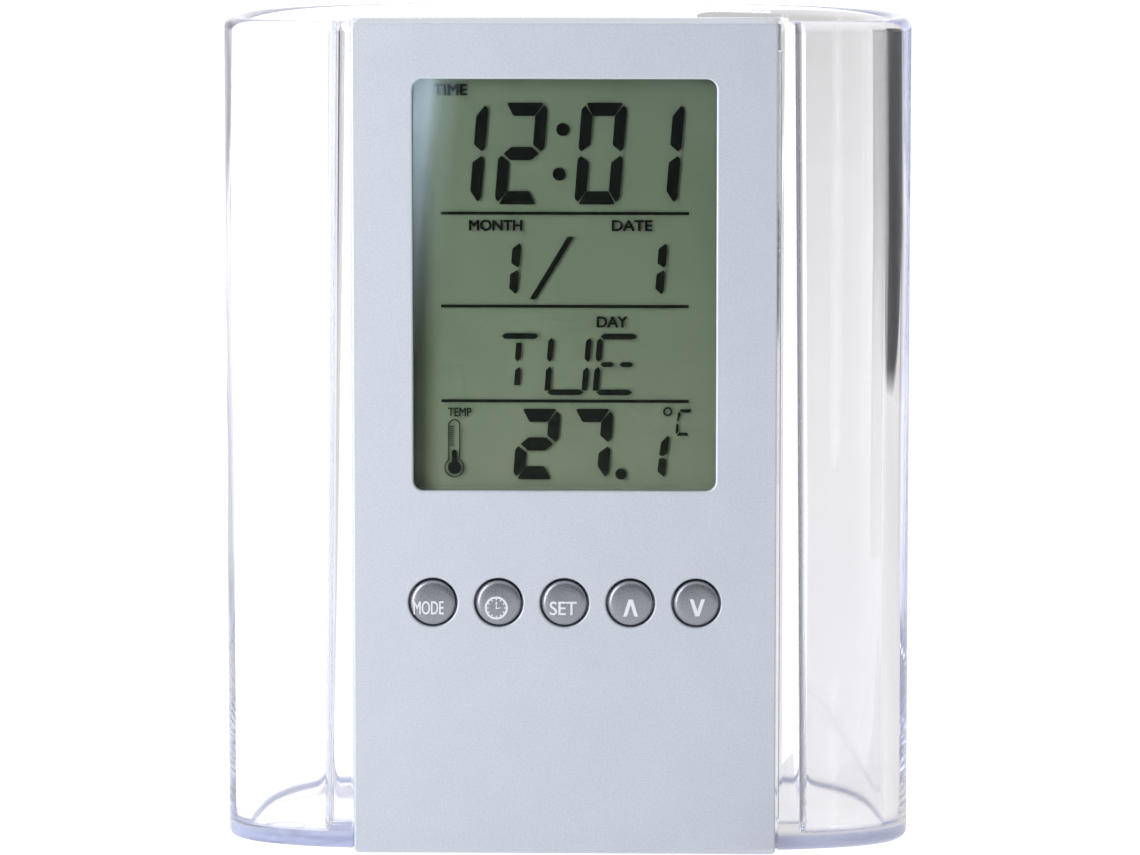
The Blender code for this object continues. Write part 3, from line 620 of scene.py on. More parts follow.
def inner_loop(wall, side, extra=0.0, count=300):
    """The inside of the wall in plan, then round the outside of the pocket."""
    inset = wall + extra
    half, back = POCKET_HALF + side + extra, POCKET_BACK + side + extra
    first = -math.acos((half / (WIDTH / 2 - inset)) ** (FRONT_POWER / 2))
    fine = half_turn(first, math.pi - first, 1201, inset)
    lengths = [0.0]
    for p, q in zip(fine, fine[1:]):
        lengths.append(lengths[-1] + math.hypot(q[0] - p[0], q[1] - p[1]))
    arc, i = [], 0
    for k in range(count):
        d = lengths[-1] * k / (count - 1)
        while i < len(lengths) - 2 and lengths[i + 1] < d:
            i += 1
        f = (d - lengths[i]) / (lengths[i + 1] - lengths[i])
        p, q = fine[i], fine[i + 1]
        arc.append((p[0] + (q[0] - p[0]) * f, p[1] + (q[1] - p[1]) * f))
    def rounded(x0, y0, towards_a, towards_b, r, steps=7):
        """A corner at (x0, y0) eased with a curve that starts and ends r along each side."""
        pts = []
        for k in range(steps + 1):
            t = k / steps
            ax, ay = x0 + towards_a[0] * r, y0 + towards_a[1] * r
            bx, by = x0 + towards_b[0] * r, y0 + towards_b[1] * r
            u, v, w = (1 - t) ** 2, 2 * t * (1 - t), t * t
            pts.append((u * ax + v * x0 + w * bx, u * ay + v * y0 + w * by))
        return pts

    # the wall meets the pocket in a small radius, and the pocket has a larger one
    ease = 1.5 * MM
    keep = [p for p in arc if math.hypot(p[0] - arc[-1][0], p[1] - arc[-1][1]) > ease and math.hypot(p[0] - arc[0][0], p[1] - arc[0][1]) > ease]
    ex, ey = arc[-1]
    away = Vector((keep[-1][0] - ex, keep[-1][1] - ey)).normalized()
    left = rounded(ex, ey, away, (0, 1), ease)
    left += rounded(-half, back, (0, -1), (1, 0), 1.1 * MM)
    right = [(-x, y) for x, y in reversed(left)]
    return even_loop(keep, count, False) + left + right


def loft(name, rings):
    bm = bmesh.new()
    loops = [[bm.verts.new((x, y, z)) for x, y in loop] for loop, z in rings]
    count = len(loops[0])
    for low, high in zip(loops, loops[1:]):
        for k in range(count):
            n = (k + 1) % count
            bm.faces.new((low[k], low[n], high[n], high[k]))
    bm.faces.new(list(reversed(loops[0])))
    bm.faces.new(loops[-1])
    bmesh.ops.recalc_face_normals(bm, faces=bm.faces)
    return from_bmesh(name, bm)


def build_cup():
    rim, foot = 1.2 * MM, 0.8 * MM
    rings = []
    for k in range(7):
        a = math.radians(15 * k)
        rings.append((outer_loop(foot * (1 - math.sin(a))), BASE_Z + foot * (1 - math.cos(a))))
    # a ring close to each rounding keeps the wall between them flat-shaded from foot to rim
    for z in (1.6, 25, 50, 75, 98.55):
        rings.append((outer_loop(0.0), z * MM))
    for k in range(9):
        a = math.radians(90 * k / 8)
        rings.append((outer_loop(rim * (1 - math.cos(a))), HEIGHT - rim + rim * math.sin(a)))
    cup = loft("cup_shell", rings)

    def walls(z):
        f = z / HEIGHT
        return WALL_BOTTOM + (WALL_TOP - WALL_BOTTOM) * f, SIDE_BOTTOM + (SIDE_TOP - SIDE_BOTTOM) * f

    fillet, lip = 0.35 * MM, 0.9 * MM
    cavity = []
    wall, side = walls(CAVITY_FLOOR_Z + fillet)
    for k in range(7):
        a = math.radians(15 * k)
        cavity.append((inner_loop(wall, side, fillet * (1 - math.sin(a))), CAVITY_FLOOR_Z + fillet * (1 - math.cos(a))))
    for z in (2.6, 25, 50, 75, 98.8):
        cavity.append((inner_loop(*walls(z * MM)), z * MM))
    wall, side = walls(HEIGHT - lip)
    for k in range(7):
        a = math.radians(90 * k / 6)
        cut_in = lip * (1 - math.cos(a))
        cavity.append((inner_loop(wall - cut_in, side - cut_in), HEIGHT - lip + lip * math.sin(a)))
    cavity.append((inner_loop(wall - lip, side - lip), HEIGHT + 1 * MM))

    left = [
        (-POCKET_HALF, -40 * MM), (-POCKET_HALF, RIB_FRONT), (-POCKET_HALF + RIB_REACH, RIB_FRONT),
        (-POCKET_HALF + RIB_REACH, RIB_BACK), (-POCKET_HALF, RIB_BACK),
    ]
    r = 0.8 * MM
    left += [(-POCKET_HALF + r - r * math.cos(a), POCKET_BACK - r + r * math.sin(a)) for a in [math.radians(90 * k / 6) for k in range(7)]]
    slot = left + [(-x, y) for x, y in reversed(left)]
    tools = [
        loft("cavity", cavity),
        loft("slot", [(slot, FLOOR_Z), (slot, HEIGHT + 2 * MM)]),
        block("rib_end", (-POCKET_HALF, -40 * MM, RIB_TOP), (POCKET_HALF, POCKET_BACK - 1.5 * MM, HEIGHT + 3 * MM)),
        block("apron", (-POCKET_HALF, -41 * MM, -1 * MM), (POCKET_HALF, APRON_BACK, FLOOR_Z + 1 * MM)),
    ]
    for x, y in ((-34, -14.25), (34, -14.25), (-20, 15.75), (20, 15.75)):
        bm = bmesh.new()
        bmesh.ops.create_cone(bm, cap_ends=True, segments=48, radius1=2.5 * MM, radius2=2.5 * MM, depth=1.7 * MM)
        bmesh.ops.translate(bm, vec=(x * MM, y * MM, BASE_Z - 0.15 * MM), verts=bm.verts)
        tools.append(from_bmesh("foot_seat", bm))
    cup = combine(cup, tools, "DIFFERENCE")
    finish_mesh(cup, CUP, 32)
    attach(cup, "holder")
    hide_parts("cup")
    return cup


cup_shell = build_cup()

# =====================================================================================
# Front panel
# =====================================================================================
BUTTONS = ("mode", "alarm", "set", "up", "down")
PITCH, BUTTON_Z = 7.88, 30.68
button_x = [(k - 2) * PITCH for k in range(5)]

panel = sheet(
    "panel_plate",
    [rounded_rectangle(25.3 * MM, 0.2 * MM, 100.0 * MM, 0.5 * MM, 6),
     rounded_rectangle(18.06 * MM, 44.15 * MM, 93.35 * MM, 1.25 * MM, 12)]
    + [circle(x * MM, BUTTON_Z * MM, 2.93 * MM) for x in button_x],
    -24.25 * MM, -22.25 * MM, 0.22 * MM, 3,
)
panel = combine(panel, [block("lens_seat", (-19.6 * MM, -23.45 * MM, 42.6 * MM), (19.6 * MM, -21.0 * MM, 95.2 * MM))], "DIFFERENCE")
posts = []
for x, z in [(sx * 19.8 * MM, z) for z in (7.4 * MM, 37.2 * MM) for sx in (-1, 1)]:
    posts.append(rod_y("post", 2.4 * MM, -22.8 * MM, -15.0 * MM, x, z, 32))
panel = combine(panel, posts, "UNION")
finish_mesh(panel, SILVER, 35)
for face in panel.data.polygons:
    if abs(face.normal.y) > 0.99999:
        face.use_smooth = False
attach(panel, "module")
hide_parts("front_panel")

# =====================================================================================
# Buttons
# =====================================================================================
for name, x in zip(BUTTONS, button_x):
    r = 2.69
    profile = [(0, 0.0), (0.7, -0.006), (1.4, -0.03), (1.9, -0.07), (2.25, -0.12), (2.45, -0.19), (2.58, -0.29), (2.66, -0.42), (r, -0.6), (r, -2.85), (3.4, -2.85), (3.4, -3.55), (1.8, -3.55), (1.8, -3.95), (0, -3.95)]
    key = spin(f"key_cap_{name}", [(a * MM, b * MM) for a, b in profile], (x * MM, -24.72 * MM, BUTTON_Z * MM), 72)
    finish_mesh(key, KEY, 40)
    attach(key, f"key_{name}")
    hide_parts(f"button_{name}")

PRINT_Y, PRINT_T = -24.735 * MM, 0.03 * MM
word("print_mode", "MODE", -18.05, -14.47, 29.28, 1.6, PRINT_Y, PRINT_T + 0.06 * MM, PRINT, "key_mode", ((0.05, 0), (0.025, 0.02)))
word("print_set", "SET", -1.75, 1.42, 29.26, 1.62, PRINT_Y, PRINT_T + 0.05 * MM, PRINT, "key_set", ((0.06, 0), (0.03, 0.025)))


def hand(x0, z0, x1, z1, w0, w1):
    """A straight tapered stroke from one point to another."""
    dx, dz = x1 - x0, z1 - z0
    n = math.hypot(dx, dz)
    px, pz = -dz / n, dx / n
    return [(x0 + px * w0 / 2, z0 + pz * w0 / 2), (x0 - px * w0 / 2, z0 - pz * w0 / 2), (x1 - px * w1 / 2, z1 - pz * w1 / 2), (x1 + px * w1 / 2, z1 + pz * w1 / 2)]


cx, cz = -8.14, 30.1
marks("print_dial_ring", [circle(cx, cz, 1.38, 64), circle(cx, cz, 1.14, 64)[::-1]], PRINT_Y, 0.09 * MM, PRINT, "key_alarm")
ticks = []
for k in range(12):
    a = math.radians(30 * k)
    c, s = math.cos(a), math.sin(a)
    ticks.append(hand(cx + 1.16 * c, cz + 1.16 * s, cx + 0.92 * c, cz + 0.92 * s, 0.17, 0.13))
marks("print_dial_ticks", ticks, PRINT_Y, 0.07 * MM, PRINT, "key_alarm")
marks("print_dial_hands", [
    hand(cx, cz - 0.12, cx, cz + 0.5, 0.15, 0.15), [(cx - 0.17, cz + 0.42), (cx + 0.17, cz + 0.42), (cx, cz + 0.8)],
], PRINT_Y, 0.06 * MM, PRINT, "key_alarm")
marks("print_dial_hand_b", [
    hand(cx - 0.1, cz - 0.05, cx + 0.45, cz - 0.05, 0.15, 0.15), [(cx + 0.38, cz - 0.2), (cx + 0.38, cz + 0.1), (cx + 0.72, cz - 0.05)],
], PRINT_Y - 0.004 * MM, 0.06 * MM, PRINT, "key_alarm")


def caret(cx, cz, width, height, foot, top):
    """An arrow head drawn as a flat-topped caret."""
    h, w = height / 2, width / 2
    inner = top / 2 - foot * 0.5
    return [(cx - w, cz - h), (cx - w + foot, cz - h), (cx, cz + h - 0.62), (cx + w - foot, cz - h), (cx + w, cz - h), (cx + top / 2, cz + h), (cx - top / 2, cz + h)]


marks("print_up", [caret(7.93, 30.15, 1.78, 2.06, 0.44, 0.5)], PRINT_Y, 0.06 * MM, PRINT, "key_up")
marks("print_down", [[(x, 2 * 30.21 - z) for x, z in caret(15.9, 30.21, 1.82, 2.06, 0.44, 0.5)][::-1]], PRINT_Y, 0.06 * MM, PRINT, "key_down")

# =====================================================================================
# The display
# =====================================================================================
INK_Y, INK_T = -22.27 * MM, 0.05 * MM


def seat(x, z):
    """Where a point of the segment drawing sits on the glass, in mm."""
    return 0.9955 * x - 0.06, 0.9953 * z + 0.134


def lcd_marks(name, shapes, lift=0.0):
    return marks(name, [[seat(x, z) for x, z in shape] for shape in shapes], INK_Y - lift * MM, INK_T, INK, "module")



def seven(x0, z0, width, height, tv, th, slant, lit, q=1.0):
    """Lit bars of a seven-segment digit, with mitred ends. x0, z0 is the lower left corner."""
    w, h, m = width, height, height / 2
    b = [(w - 0.44 * q, h - 0.34 * q), (w - 0.13 * q, h - 0.6 * q), (w, h - 0.95 * q), (w, m + 0.7 * q), (w - 0.37 * q, m + 0.25 * q), (w - tv, m + 1.07 * q), (w - tv, h - th - 0.03 * q)]
    f = [(w - x, z) for x, z in b][::-1]
    a = [(0.56 * q, h - 0.12 * q), (0.8 * q, h), (w - 0.8 * q, h), (w - 0.56 * q, h - 0.12 * q), (w - tv - 0.06 * q, h - th), (tv + 0.06 * q, h - th)][::-1]
    g = [(0.6 * q, m), (1.5 * q, m + th / 2), (w - 1.5 * q, m + th / 2), (w - 0.6 * q, m), (w - 1.5 * q, m - th / 2), (1.5 * q, m - th / 2)][::-1]
    bars = {
        "a": a, "b": b, "f": f, "g": g,
        "c": [(x, h - z) for x, z in b][::-1],
        "e": [(x, h - z) for x, z in f][::-1],
        "d": [(x, h - z) for x, z in a][::-1],
    }
    return [[(x0 + x + slant * z, z0 + z) for x, z in bars[s]] for s in lit]


def hbar(x0, x1, z, t, tip=None):
    """A level bar with pointed ends."""
    tip = 0.42 if tip is None else tip
    return [(x0, z), (x0 + tip, z - t / 2), (x1 - tip, z - t / 2), (x1, z), (x1 - tip, z + t / 2), (x0 + tip, z + t / 2)]


def vbar(x, z0, z1, t, slant, tips="both", ref=0.0, side=0.0):
    """An upright bar, leaning with the digit, with pointed ends. x is its centre at z = ref."""
    tip = 0.42
    pts = []
    if tips in ("both", "low"):
        pts += [(side, z0), (t / 2, z0 + tip)]
    else:
        pts += [(t / 2, z0)]
    if tips in ("both", "high"):
        pts += [(t / 2, z1 - tip), (side, z1), (-t / 2, z1 - tip)]
    else:
        pts += [(t / 2, z1), (-t / 2, z1)]
    pts += [(-t / 2, z0 + tip)] if tips in ("both", "low") else [(-t / 2, z0)]
    return [(x + dx + slant * (z - ref), z) for dx, z in pts]


LEAN = 0.081
clock_digits = []
clock_digits += seven(-15.42, 78.56, 5.42, 12.19, 1.38, 1.6, LEAN, "bc")
clock_digits += seven(-8.36, 78.56, 5.42, 12.19, 1.38, 1.6, LEAN, "abged")
clock_digits += seven(1.14, 78.56, 5.42, 12.19, 1.38, 1.6, LEAN, "abcdef")
clock_digits += seven(8.02, 78.56, 5.42, 12.19, 1.38, 1.6, LEAN, "bc")
lcd_marks("lcd_time", clock_digits)
lcd_marks("lcd_colon", [circle(-0.19, 87.55, 0.78, 40), circle(-0.61, 82.19, 0.78, 40)])
lcd_marks("lcd_rules", [
    [(-14.77, z - 0.185), (14.92, z - 0.185), (14.92, z + 0.185), (-14.77, z + 0.185)] for z in (77.5, 66.33, 54.9)
])

date_digits = seven(-9.55, 67.6, 3.9, 6.5, 1.03, 0.85, LEAN, "bc", 0.62)
date_digits += seven(7.95, 67.6, 3.9, 6.5, 1.03, 0.85, LEAN, "bc", 0.62)
date_digits += [[(-4.17, 67.16), (-3.42, 67.16), (1.12, 74.7), (0.37, 74.7)]]
lcd_marks("lcd_date", date_digits)

T = 0.70
day = [hbar(-7.53, -3.10, 62.73, T), vbar(-5.43, 59.65, 61.93, T, LEAN, "low", 61.9, -0.05), vbar(-5.69, 56.80, 59.02, T, LEAN, "high", 56.8, 0.1)]
day += [vbar(-1.63, 59.62, 62.54, T, LEAN, "both", 61.5), vbar(-1.93, 56.16, 59.07, T, LEAN, "high", 57.6, 0.1)]
day += [hbar(-2.08, 2.31, 55.96, T, 0.5), vbar(2.88, 59.62, 62.54, T, LEAN, "both", 61.5, 0.1), vbar(2.52, 56.20, 59.02, T, LEAN, "high", 57.6, 0.1)]
day += [hbar(4.32, 8.73, 62.70, T), vbar(4.22, 59.62, 62.54, T, LEAN, "both", 61.5), vbar(3.87, 56.16, 59.07, T, LEAN, "high", 57.6, 0.1)]
day += [hbar(4.32, 6.03, 59.32, 0.6, 0.36), hbar(6.58, 8.30, 59.32, 0.6, 0.36), hbar(3.80, 8.18, 55.96, T, 0.5)]
lcd_marks("lcd_day", day)

temp = seven(-6.2, 45.42, 5.1, 8.55, 1.4, 1.6, LEAN, "abged")
temp += seven(0.16, 45.42, 5.1, 8.55, 1.4, 1.6, LEAN, "abc")
temp += [
    [(11.38, 48.45), (11.83, 48.26), (12.40, 48.62), (12.60, 50.40), (12.46, 50.78), (11.62, 49.95)],
    [(11.77, 48.10), (11.36, 47.93), (11.18, 46.45), (11.92, 45.77), (12.08, 46.0), (12.28, 47.85)],
]
lcd_marks("lcd_temp", temp)
lcd_marks("lcd_unit", [
    [(13.83, 53.80), (13.98, 53.95), (15.28, 53.95), (15.02, 53.53), (14.12, 53.53)],
    [(13.50, 52.42), (13.72, 52.53), (13.98, 53.38), (13.86, 53.70), (13.62, 53.45)],
    [(13.46, 52.24), (13.36, 51.10), (13.50, 50.96), (13.72, 51.28), (13.68, 52.12)],
    [(13.52, 50.80), (13.80, 51.13), (14.72, 51.13), (14.92, 50.74), (13.62, 50.74)],
])
lcd_marks("lcd_point", [circle(6.8, 46.09, 0.67, 36)])
lcd_marks("lcd_degree", [circle(12.42, 53.65, 0.56, 32), circle(12.42, 53.65, 0.34, 32)[::-1]])


def tube_outline(half, radius, bottom_z, top_z, grow=0.0):
    """A thermometer's outline: a bulb with a round-topped tube."""
    cx, cz = -13.22, 46.82
    half, radius, top_z = half + grow, radius + grow, top_z + grow
    a0 = math.asin(half / radius)
    points = []
    steps = 40
    for k in range(steps + 1):
        a = math.pi / 2 + a0 + (2 * math.pi - 2 * a0) * k / steps
        points.append((cx + radius * math.cos(a), cz + radius * math.sin(a)))
    for k in range(13):
        a = math.pi * k / 12
        points.append((cx + half * math.cos(a), top_z - half + half * math.sin(a)))
    return points


thermo = [tube_outline(0.73, 1.2, 45.6, 52.67), tube_outline(0.73, 1.2, 45.6, 52.67, -0.13)[::-1]]
lcd_marks("lcd_thermo_case", thermo)
lcd_marks("lcd_thermo_fill", [tube_outline(0.31, 0.78, 46.0, 49.0)])
scale_marks = []
for k in range(10):
    z = 51.79 - 0.25 * k
    scale_marks.append([(-13.86, z - 0.045), (-13.22 if k in (0, 9) else -13.33, z - 0.045), (-13.22 if k in (0, 9) else -13.33, z + 0.045), (-13.86, z + 0.045)])
lcd_marks("lcd_thermo_scale", scale_marks, 0.002)

for text, x0, x1, z, h in (
    ("TIME", -15.67, -11.69, 91.65, 1.25), ("MONTH", -11.42, -5.14, 75.42, 1.24), ("DATE", 5.67, 10.43, 75.42, 1.24),
    ("DAY", 3.87, 7.46, 63.82, 1.26), ("TEMP", -13.98, -11.19, 53.02, 1.02),
):
    x0, z = seat(x0, z)
    x1 = seat(x1, z)[0]
    heavy = ((0.11, 0), (0.055, 0.045), (0.055, -0.045), (0.0, 0.03), (0.11, 0.03)) if h > 1.1 else ((0.04, 0), (0.02, 0.02))
    word(f"lcd_word_{text.lower()}", text, x0, x1, z, h, INK_Y, INK_T, INK, "module", heavy)

# =====================================================================================
# Finish of the CAD pieces that stay
# =====================================================================================
finish = {
    "foot_front_left": PAD, "foot_front_right": PAD, "foot_back_left": PAD, "foot_back_right": PAD,
    "display_lens": LENS, "lcd_polariser": POLAR, "lcd_front_glass": GROUND, "lcd_rear_glass": GROUND, "lcd_reflector": FILM,
    "lcd_frame": WHITE, "zebra_lower": ZEBRA, "zebra_upper": ZEBRA, "circuit_board": LAMINATE, "chip_blob": EPOXY,
    "crystal": TIN, "chip_capacitor": CERAMIC, "chip_resistor": EPOXY, "thermistor": CARBON, "buzzer_disc": BRASS,
    "buzzer_ceramic": CERAMIC, "buzzer_wire_red": RED, "buzzer_wire_black": BLACK, "keypad_sheet": SILICONE,
    "rear_case": SILVER_CASE, "battery_cover": SILVER_CASE, "button_cell": NICKEL, "contact_plus": NICKEL, "contact_minus": NICKEL,
}
for name in BUTTONS:
    finish[f"plunger_{name}"] = CARBON
for k in range(1, 5):
    finish[f"case_screw_{k}"] = finish[f"board_screw_{k}"] = STEEL
for name, material in finish.items():
    mesh = nodes[name].data
    mesh.materials.clear()
    mesh.materials.append(material)

# =====================================================================================
# Studio
# =====================================================================================
bm = bmesh.new()
bmesh.ops.create_grid(bm, x_segments=2, y_segments=2, size=3.0)
floor = from_bmesh("studio_floor", bm)
mat, tree, shader = new_material("studio_white")
mat.cycles.emission_sampling = "NONE"
shader.inputs["Base Color"].default_value = (0.30, 0.30, 0.302, 1)
shader.inputs["Emission Color"].default_value = (1.0, 1.0, 1.0, 1)
shader.inputs["Emission Strength"].default_value = 0.86
shader.inputs["Roughness"].default_value = 0.7
shader.inputs["Specular IOR Level"].default_value = 0.2
finish_mesh(floor, mat)

def softbox(name, place, aim, size_x, size_y, power, colour=(1, 1, 1)):
    light = bpy.data.lights.new(name, "AREA")
    light.shape = "RECTANGLE"
    light.size, light.size_y = size_x, size_y
    light.energy = power
    light.color = colour
    obj = bpy.data.objects.new(name, light)
    obj.location = place
    obj.rotation_mode = "QUATERNION"
    obj.rotation_quaternion = (Vector(aim) - Vector(place)).to_track_quat("-Z", "Y")
    scene.collection.objects.link(obj)
    return obj


world = bpy.data.worlds.new("studio")
scene.world = world
world.use_nodes = True
tree = world.node_tree
background = tree.nodes["Background"]
heading = split_xyz(tree, tree.nodes.new("ShaderNodeTexCoord").outputs["Generated"])
# bright overhead and behind, darker low down in front, where the camera stands
depth = ramp(tree, span(tree, heading[1], 0, 1, -1, 1), ((0.0, 0.10), (0.28, 0.18), (0.55, 1.0), (1.0, 1.0)))
rise = ramp(tree, heading[2], ((0.0, 0.0), (0.45, 0.0), (0.9, 1.0)))
lit = blend_colours(tree, rise, depth, (1.0, 1.0, 1.0))
tint = ramp(tree, span(tree, heading[0], 0, 1, -1, 1), ((0.0, (1.0, 1.0, 1.0)), (1.0, (0.80, 0.81, 0.82))))
tree.links.new(blend_colours(tree, 1.0, lit, tint, "MULTIPLY"), background.inputs["Color"])
background.inputs["Strength"].default_value = 1.28

sun = bpy.data.lights.new("soft_sun", "SUN")
sun.energy = 0.25
sun.angle = math.radians(45)
sun.color = (0.97, 0.985, 1.0)
lamp = bpy.data.objects.new("soft_sun", sun)
lamp.rotation_mode = "QUATERNION"
lamp.rotation_quaternion = Vector((-0.60, -0.42, 0.68)).to_track_quat("Z", "Y")
scene.collection.objects.link(lamp)
softbox("key_light", (-0.17, -0.17, 0.10), (0, -0.02, 0.05), 0.10, 0.20, 0.47, (0.94, 0.97, 1.0))


def card(name, outline, height, stops, along=1, reach=(0.0, 1.5), own=0.0, strip=None):
    """A card lying on the floor that only shows in the gloss of the object and through its clear walls, never to the
    camera or to lit surfaces: painted reflections of the dark and light parts of a studio. Its grey runs with the
    distance along one axis, and part of it can be light of its own, like the floor's, which is painted light seen only
    in those reflections."""
    bm = bmesh.new()
    bm.faces.new([bm.verts.new((x, y, height)) for x, y in outline])
    obj = from_bmesh(name, bm)
    mat, tree, shader = new_material(name)
    mat.cycles.emission_sampling = "NONE"
    coords = object_coords(tree)
    run = ramp(tree, span(tree, split_xyz(tree, coords)[along], 0, 1, *reach), stops)
    mottle = ramp(tree, noise(tree, coords, 6, 2, 0.5), ((0.3, 0.95), (0.7, 1.0)))
    tone = blend_colours(tree, 1.0, run, mottle, "MULTIPLY")
    if strip:
        tone = blend_colours(tree, 1.0, tone, strip(tree, coords), "MULTIPLY")
    tree.links.new(blend_colours(tree, 1.0, tone, (max(0.0, 1 - own),) * 3, "MULTIPLY"), shader.inputs["Base Color"])
    if own:
        tree.links.new(tone, shader.inputs["Emission Color"])
        shader.inputs["Emission Strength"].default_value = 1.3 * own
    shader.inputs["Roughness"].default_value = 0.9
    shader.inputs["Specular IOR Level"].default_value = 0.0
    finish_mesh(obj, mat)
    obj.visible_camera = False
    obj.visible_diffuse = False
    obj.visible_shadow = False
    return obj


def card_mesh(name, grid, dark, light):
    """A card from rows of points, each with its place between dark (0) and light (1). It glows in part and shows only
    in gloss and through the clear walls: painted light and shade in reflections.
    """
    bm = bmesh.new()
    edge = bm.verts.layers.float_color.new("edge")
    rows = []
    for row in grid:
        line = []
        for x, y, z, value in row:
            vert = bm.verts.new((x, y, z))
            vert[edge] = (value, value, value, 1.0)
            line.append(vert)
        rows.append(line)
    for one, two in zip(rows, rows[1:]):
        for k in range(len(one) - 1):
            bm.faces.new((one[k], one[k + 1], two[k + 1], two[k]))
    obj = from_bmesh(name, bm)
    mat, tree, shader = new_material(name)
    mat.cycles.emission_sampling = "NONE"
    value = tree.nodes.new("ShaderNodeAttribute")
    value.attribute_name = "edge"
    mottle = noise(tree, object_coords(tree), 5, 2, 0.5)
    deep = ramp(tree, mottle, ((0.3, dark), (0.7, tuple(1.5 * v for v in dark))))
    tone = blend_colours(tree, ramp(tree, value.outputs["Fac"], ((0.0, 0.0), (0.5, 0.35), (1.0, 1.0))), deep, light)
    tree.links.new(blend_colours(tree, 1.0, tone, (0.35, 0.35, 0.35), "MULTIPLY"), shader.inputs["Base Color"])
    tree.links.new(tone, shader.inputs["Emission Color"])
    shader.inputs["Emission Strength"].default_value = 0.85
    shader.inputs["Roughness"].default_value = 0.9
    shader.inputs["Specular IOR Level"].default_value = 0.0
    finish_mesh(obj, mat)
    obj.visible_camera = False
    obj.visible_diffuse = False
    obj.visible_shadow = False
    return obj


def fan(name, near, far, soft, dark, light):
    """A dark card shaped as a fan round the right end of the cup, with soft edges: painted shade, seen only through the
    cup's walls and in their gloss, that darkens the cup's right end.
    """
    grid = []
    for k, (degrees, start) in enumerate(near):
        end = 1.0 if k == len(near) - 1 else 0.0
        grid.append([(*bearing(degrees, distance), 0.0015, value)
                     for distance, value in ((start - soft, 1.0), (start + 0.01, end), (far, end), (far + 0.5, 1.0))])
    return card_mesh(name, grid, dark, light)


def soft_card(name, rows, depths, dark, light):
    """A dark card whose left and right edges fade into the floor: painted shade, seen only in gloss and through the
    clear walls.
    """
    return card_mesh(name, [[(x, y, 0.0010, value) for x, value in row] for row, y in zip(rows, depths)], dark, light)


# painted shade and light for the cup, seen only through its walls and in its gloss: the dark fan and the fringe darken
# its right end, the grey veil greys its right side, and the light card behind on the left keeps its left edges light
near = [(21.5, 0.74), (27, 0.595), (34, 0.525), (40, 0.495), (50, 0.465), (60, 0.465), (76, 0.475), (94, 0.525)]
fan("card_right", near, 1.85, 0.04, (0.004, 0.005, 0.010), (0.72, 0.71, 0.71))
card("card_fringe", [bearing(22, 0.22), bearing(14.5, 0.22), bearing(14.5, 2.9), bearing(22, 2.9)], 0.0014, (
    (0.0, 0.58), (0.2, 0.46), (0.35, 0.34), (0.5, 0.18), (0.7, 0.08), (1.0, 0.06)), reach=(0.2, 1.2), own=0.5)
card("card_veil", [(0.022, -0.05), (0.022, 2.9), (2.9, 2.9), (2.9, -0.05)], 0.0008, (
    (0.0, (0.74, 0.735, 0.735)), (0.05, (0.67, 0.665, 0.67)), (0.12, (0.64, 0.63, 0.637)), (0.22, (0.66, 0.65, 0.655)), (0.5, (0.60, 0.59, 0.592)), (1.0, (0.50, 0.495, 0.495))), own=0.65)
card("card_back_left", [(0.020, 0.06), (0.020, 2.9), (-2.9, 2.9), (-2.9, 0.06)], 0.0008, ((0.0, 0.94), (0.05, 0.96), (0.25, 1.08), (1.0, 1.10)), own=0.9)


def seen_in_lens(x, t):
    """The floor point that the lens mirrors to the camera from x, t of the way out."""
    return ((x + (x - 18.0) * t) * MM, (-23.0 - 706.0 * t) * MM)


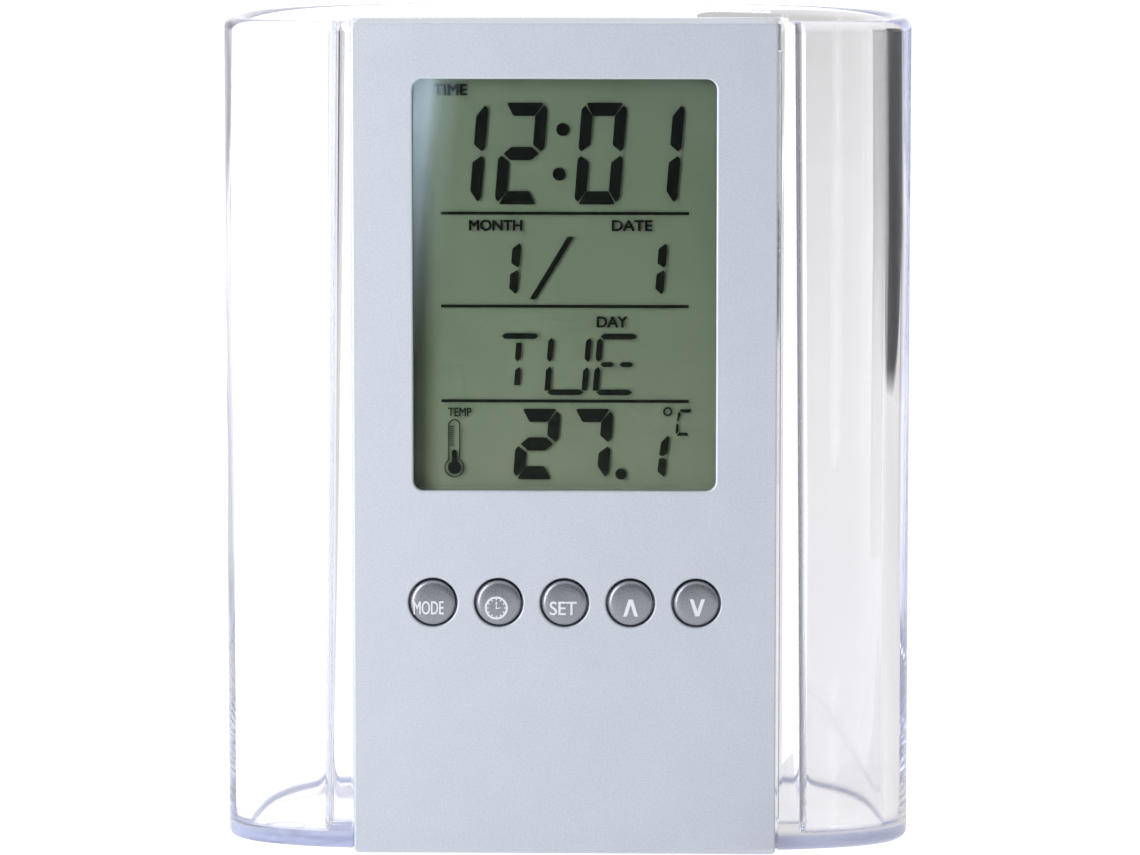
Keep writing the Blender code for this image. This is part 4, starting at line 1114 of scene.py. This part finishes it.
def painted_lens_reflection(tree, coords):
    """A painted reflection: a soft upright bar of light in what the lens mirrors, wider and brighter towards its top.
    """
    x, y, _ = split_xyz(tree, coords)
    t = arithmetic(tree, "DIVIDE", arithmetic(tree, "SUBTRACT", -0.023, y), 0.706)
    across = arithmetic(tree, "DIVIDE", arithmetic(tree, "ADD", x, arithmetic(tree, "MULTIPLY", t, 0.018)), arithmetic(tree, "ADD", t, 1.0))
    across = arithmetic(tree, "ADD", across, arithmetic(tree, "MULTIPLY", arithmetic(tree, "SUBTRACT", 2.0, t), 0.0019))
    bar = ramp(tree, span(tree, across, 0, 1, -0.0182, -0.0122), ((0.0, 0.6), (0.12, 1.0), (0.38, 0.95), (0.50, 0.5), (0.64, 0.22), (1.0, 0.0)))
    up = ramp(tree, span(tree, t, 0, 1, 0.75, 2.0), ((0.0, 0.0), (0.2, 0.22), (0.5, 0.62), (0.8, 1.0), (1.0, 0.9)))
    return blend_colours(tree, 1.0, bar, up, "MULTIPLY")


# painted reflections: a dark card in front, seen only in the gloss of the lens and panel and through the cup's walls,
# with a glowing bar on it that paints a pale streak of light into the lens
soft_card("card_front", [
    [(seen_in_lens(-18.8, t)[0] - 0.16, 1.0), (seen_in_lens(-18.8, t)[0], 0.0), (seen_in_lens(18.8, t)[0], 0.0), (seen_in_lens(18.8, t)[0] + 0.10, 1.0)]
    for t in (0.46, 2.5)], (seen_in_lens(0, 0.46)[1], seen_in_lens(0, 2.5)[1]), (0.012, 0.012, 0.012), (0.95, 0.95, 0.95))
card("card_painted_lens_light", [seen_in_lens(-18.6, 0.72), seen_in_lens(-12.0, 0.72), seen_in_lens(-12.0, 2.4), seen_in_lens(-18.6, 2.4)], 0.0015, (
    (0.0, (0.66, 0.86, 1.0)), (1.0, (0.66, 0.86, 1.0))), own=7.5, strip=painted_lens_reflection)
# painted light: a glowing strip to the front right, seen only in gloss and through the walls, that lightens part of the
# cup's right end
card("card_glow", [(0.034, -0.25), (0.075, -0.25), (0.10, -1.9), (0.034, -1.9)], 0.0015, ((0.0, 1.0), (1.0, 1.0)), own=2.0)

# =====================================================================================
# Camera, at the photograph's angle
# =====================================================================================
AZ, EL, DIST, FOCAL_PX = math.radians(1.422), math.radians(7.041), 726.6 * MM, 5959.7
TARGET = Vector((0.268 * MM, TIP_Y, 49.844 * MM))
back = Vector((math.sin(AZ) * math.cos(EL), -math.cos(AZ) * math.cos(EL), math.sin(EL)))
camera = bpy.data.cameras.new("camera")
camera.sensor_width = 36.0
camera.lens = FOCAL_PX * 36.0 / 1140.0
camera.clip_start, camera.clip_end = 0.01, 20.0
eye = bpy.data.objects.new("camera", camera)
eye.location = TARGET + back * DIST
eye.rotation_mode = "QUATERNION"
eye.rotation_quaternion = (-back).to_track_quat("-Z", "Y")
scene.collection.objects.link(eye)
scene.camera = eye

# Light runs a long way inside the clear walls before it leaves them
scene.cycles.max_bounces = 96
scene.cycles.glossy_bounces = 96
scene.cycles.transmission_bounces = 96
scene.cycles.transparent_max_bounces = 32

scene.view_settings.view_transform = "Standard"
scene.view_settings.look = "None"
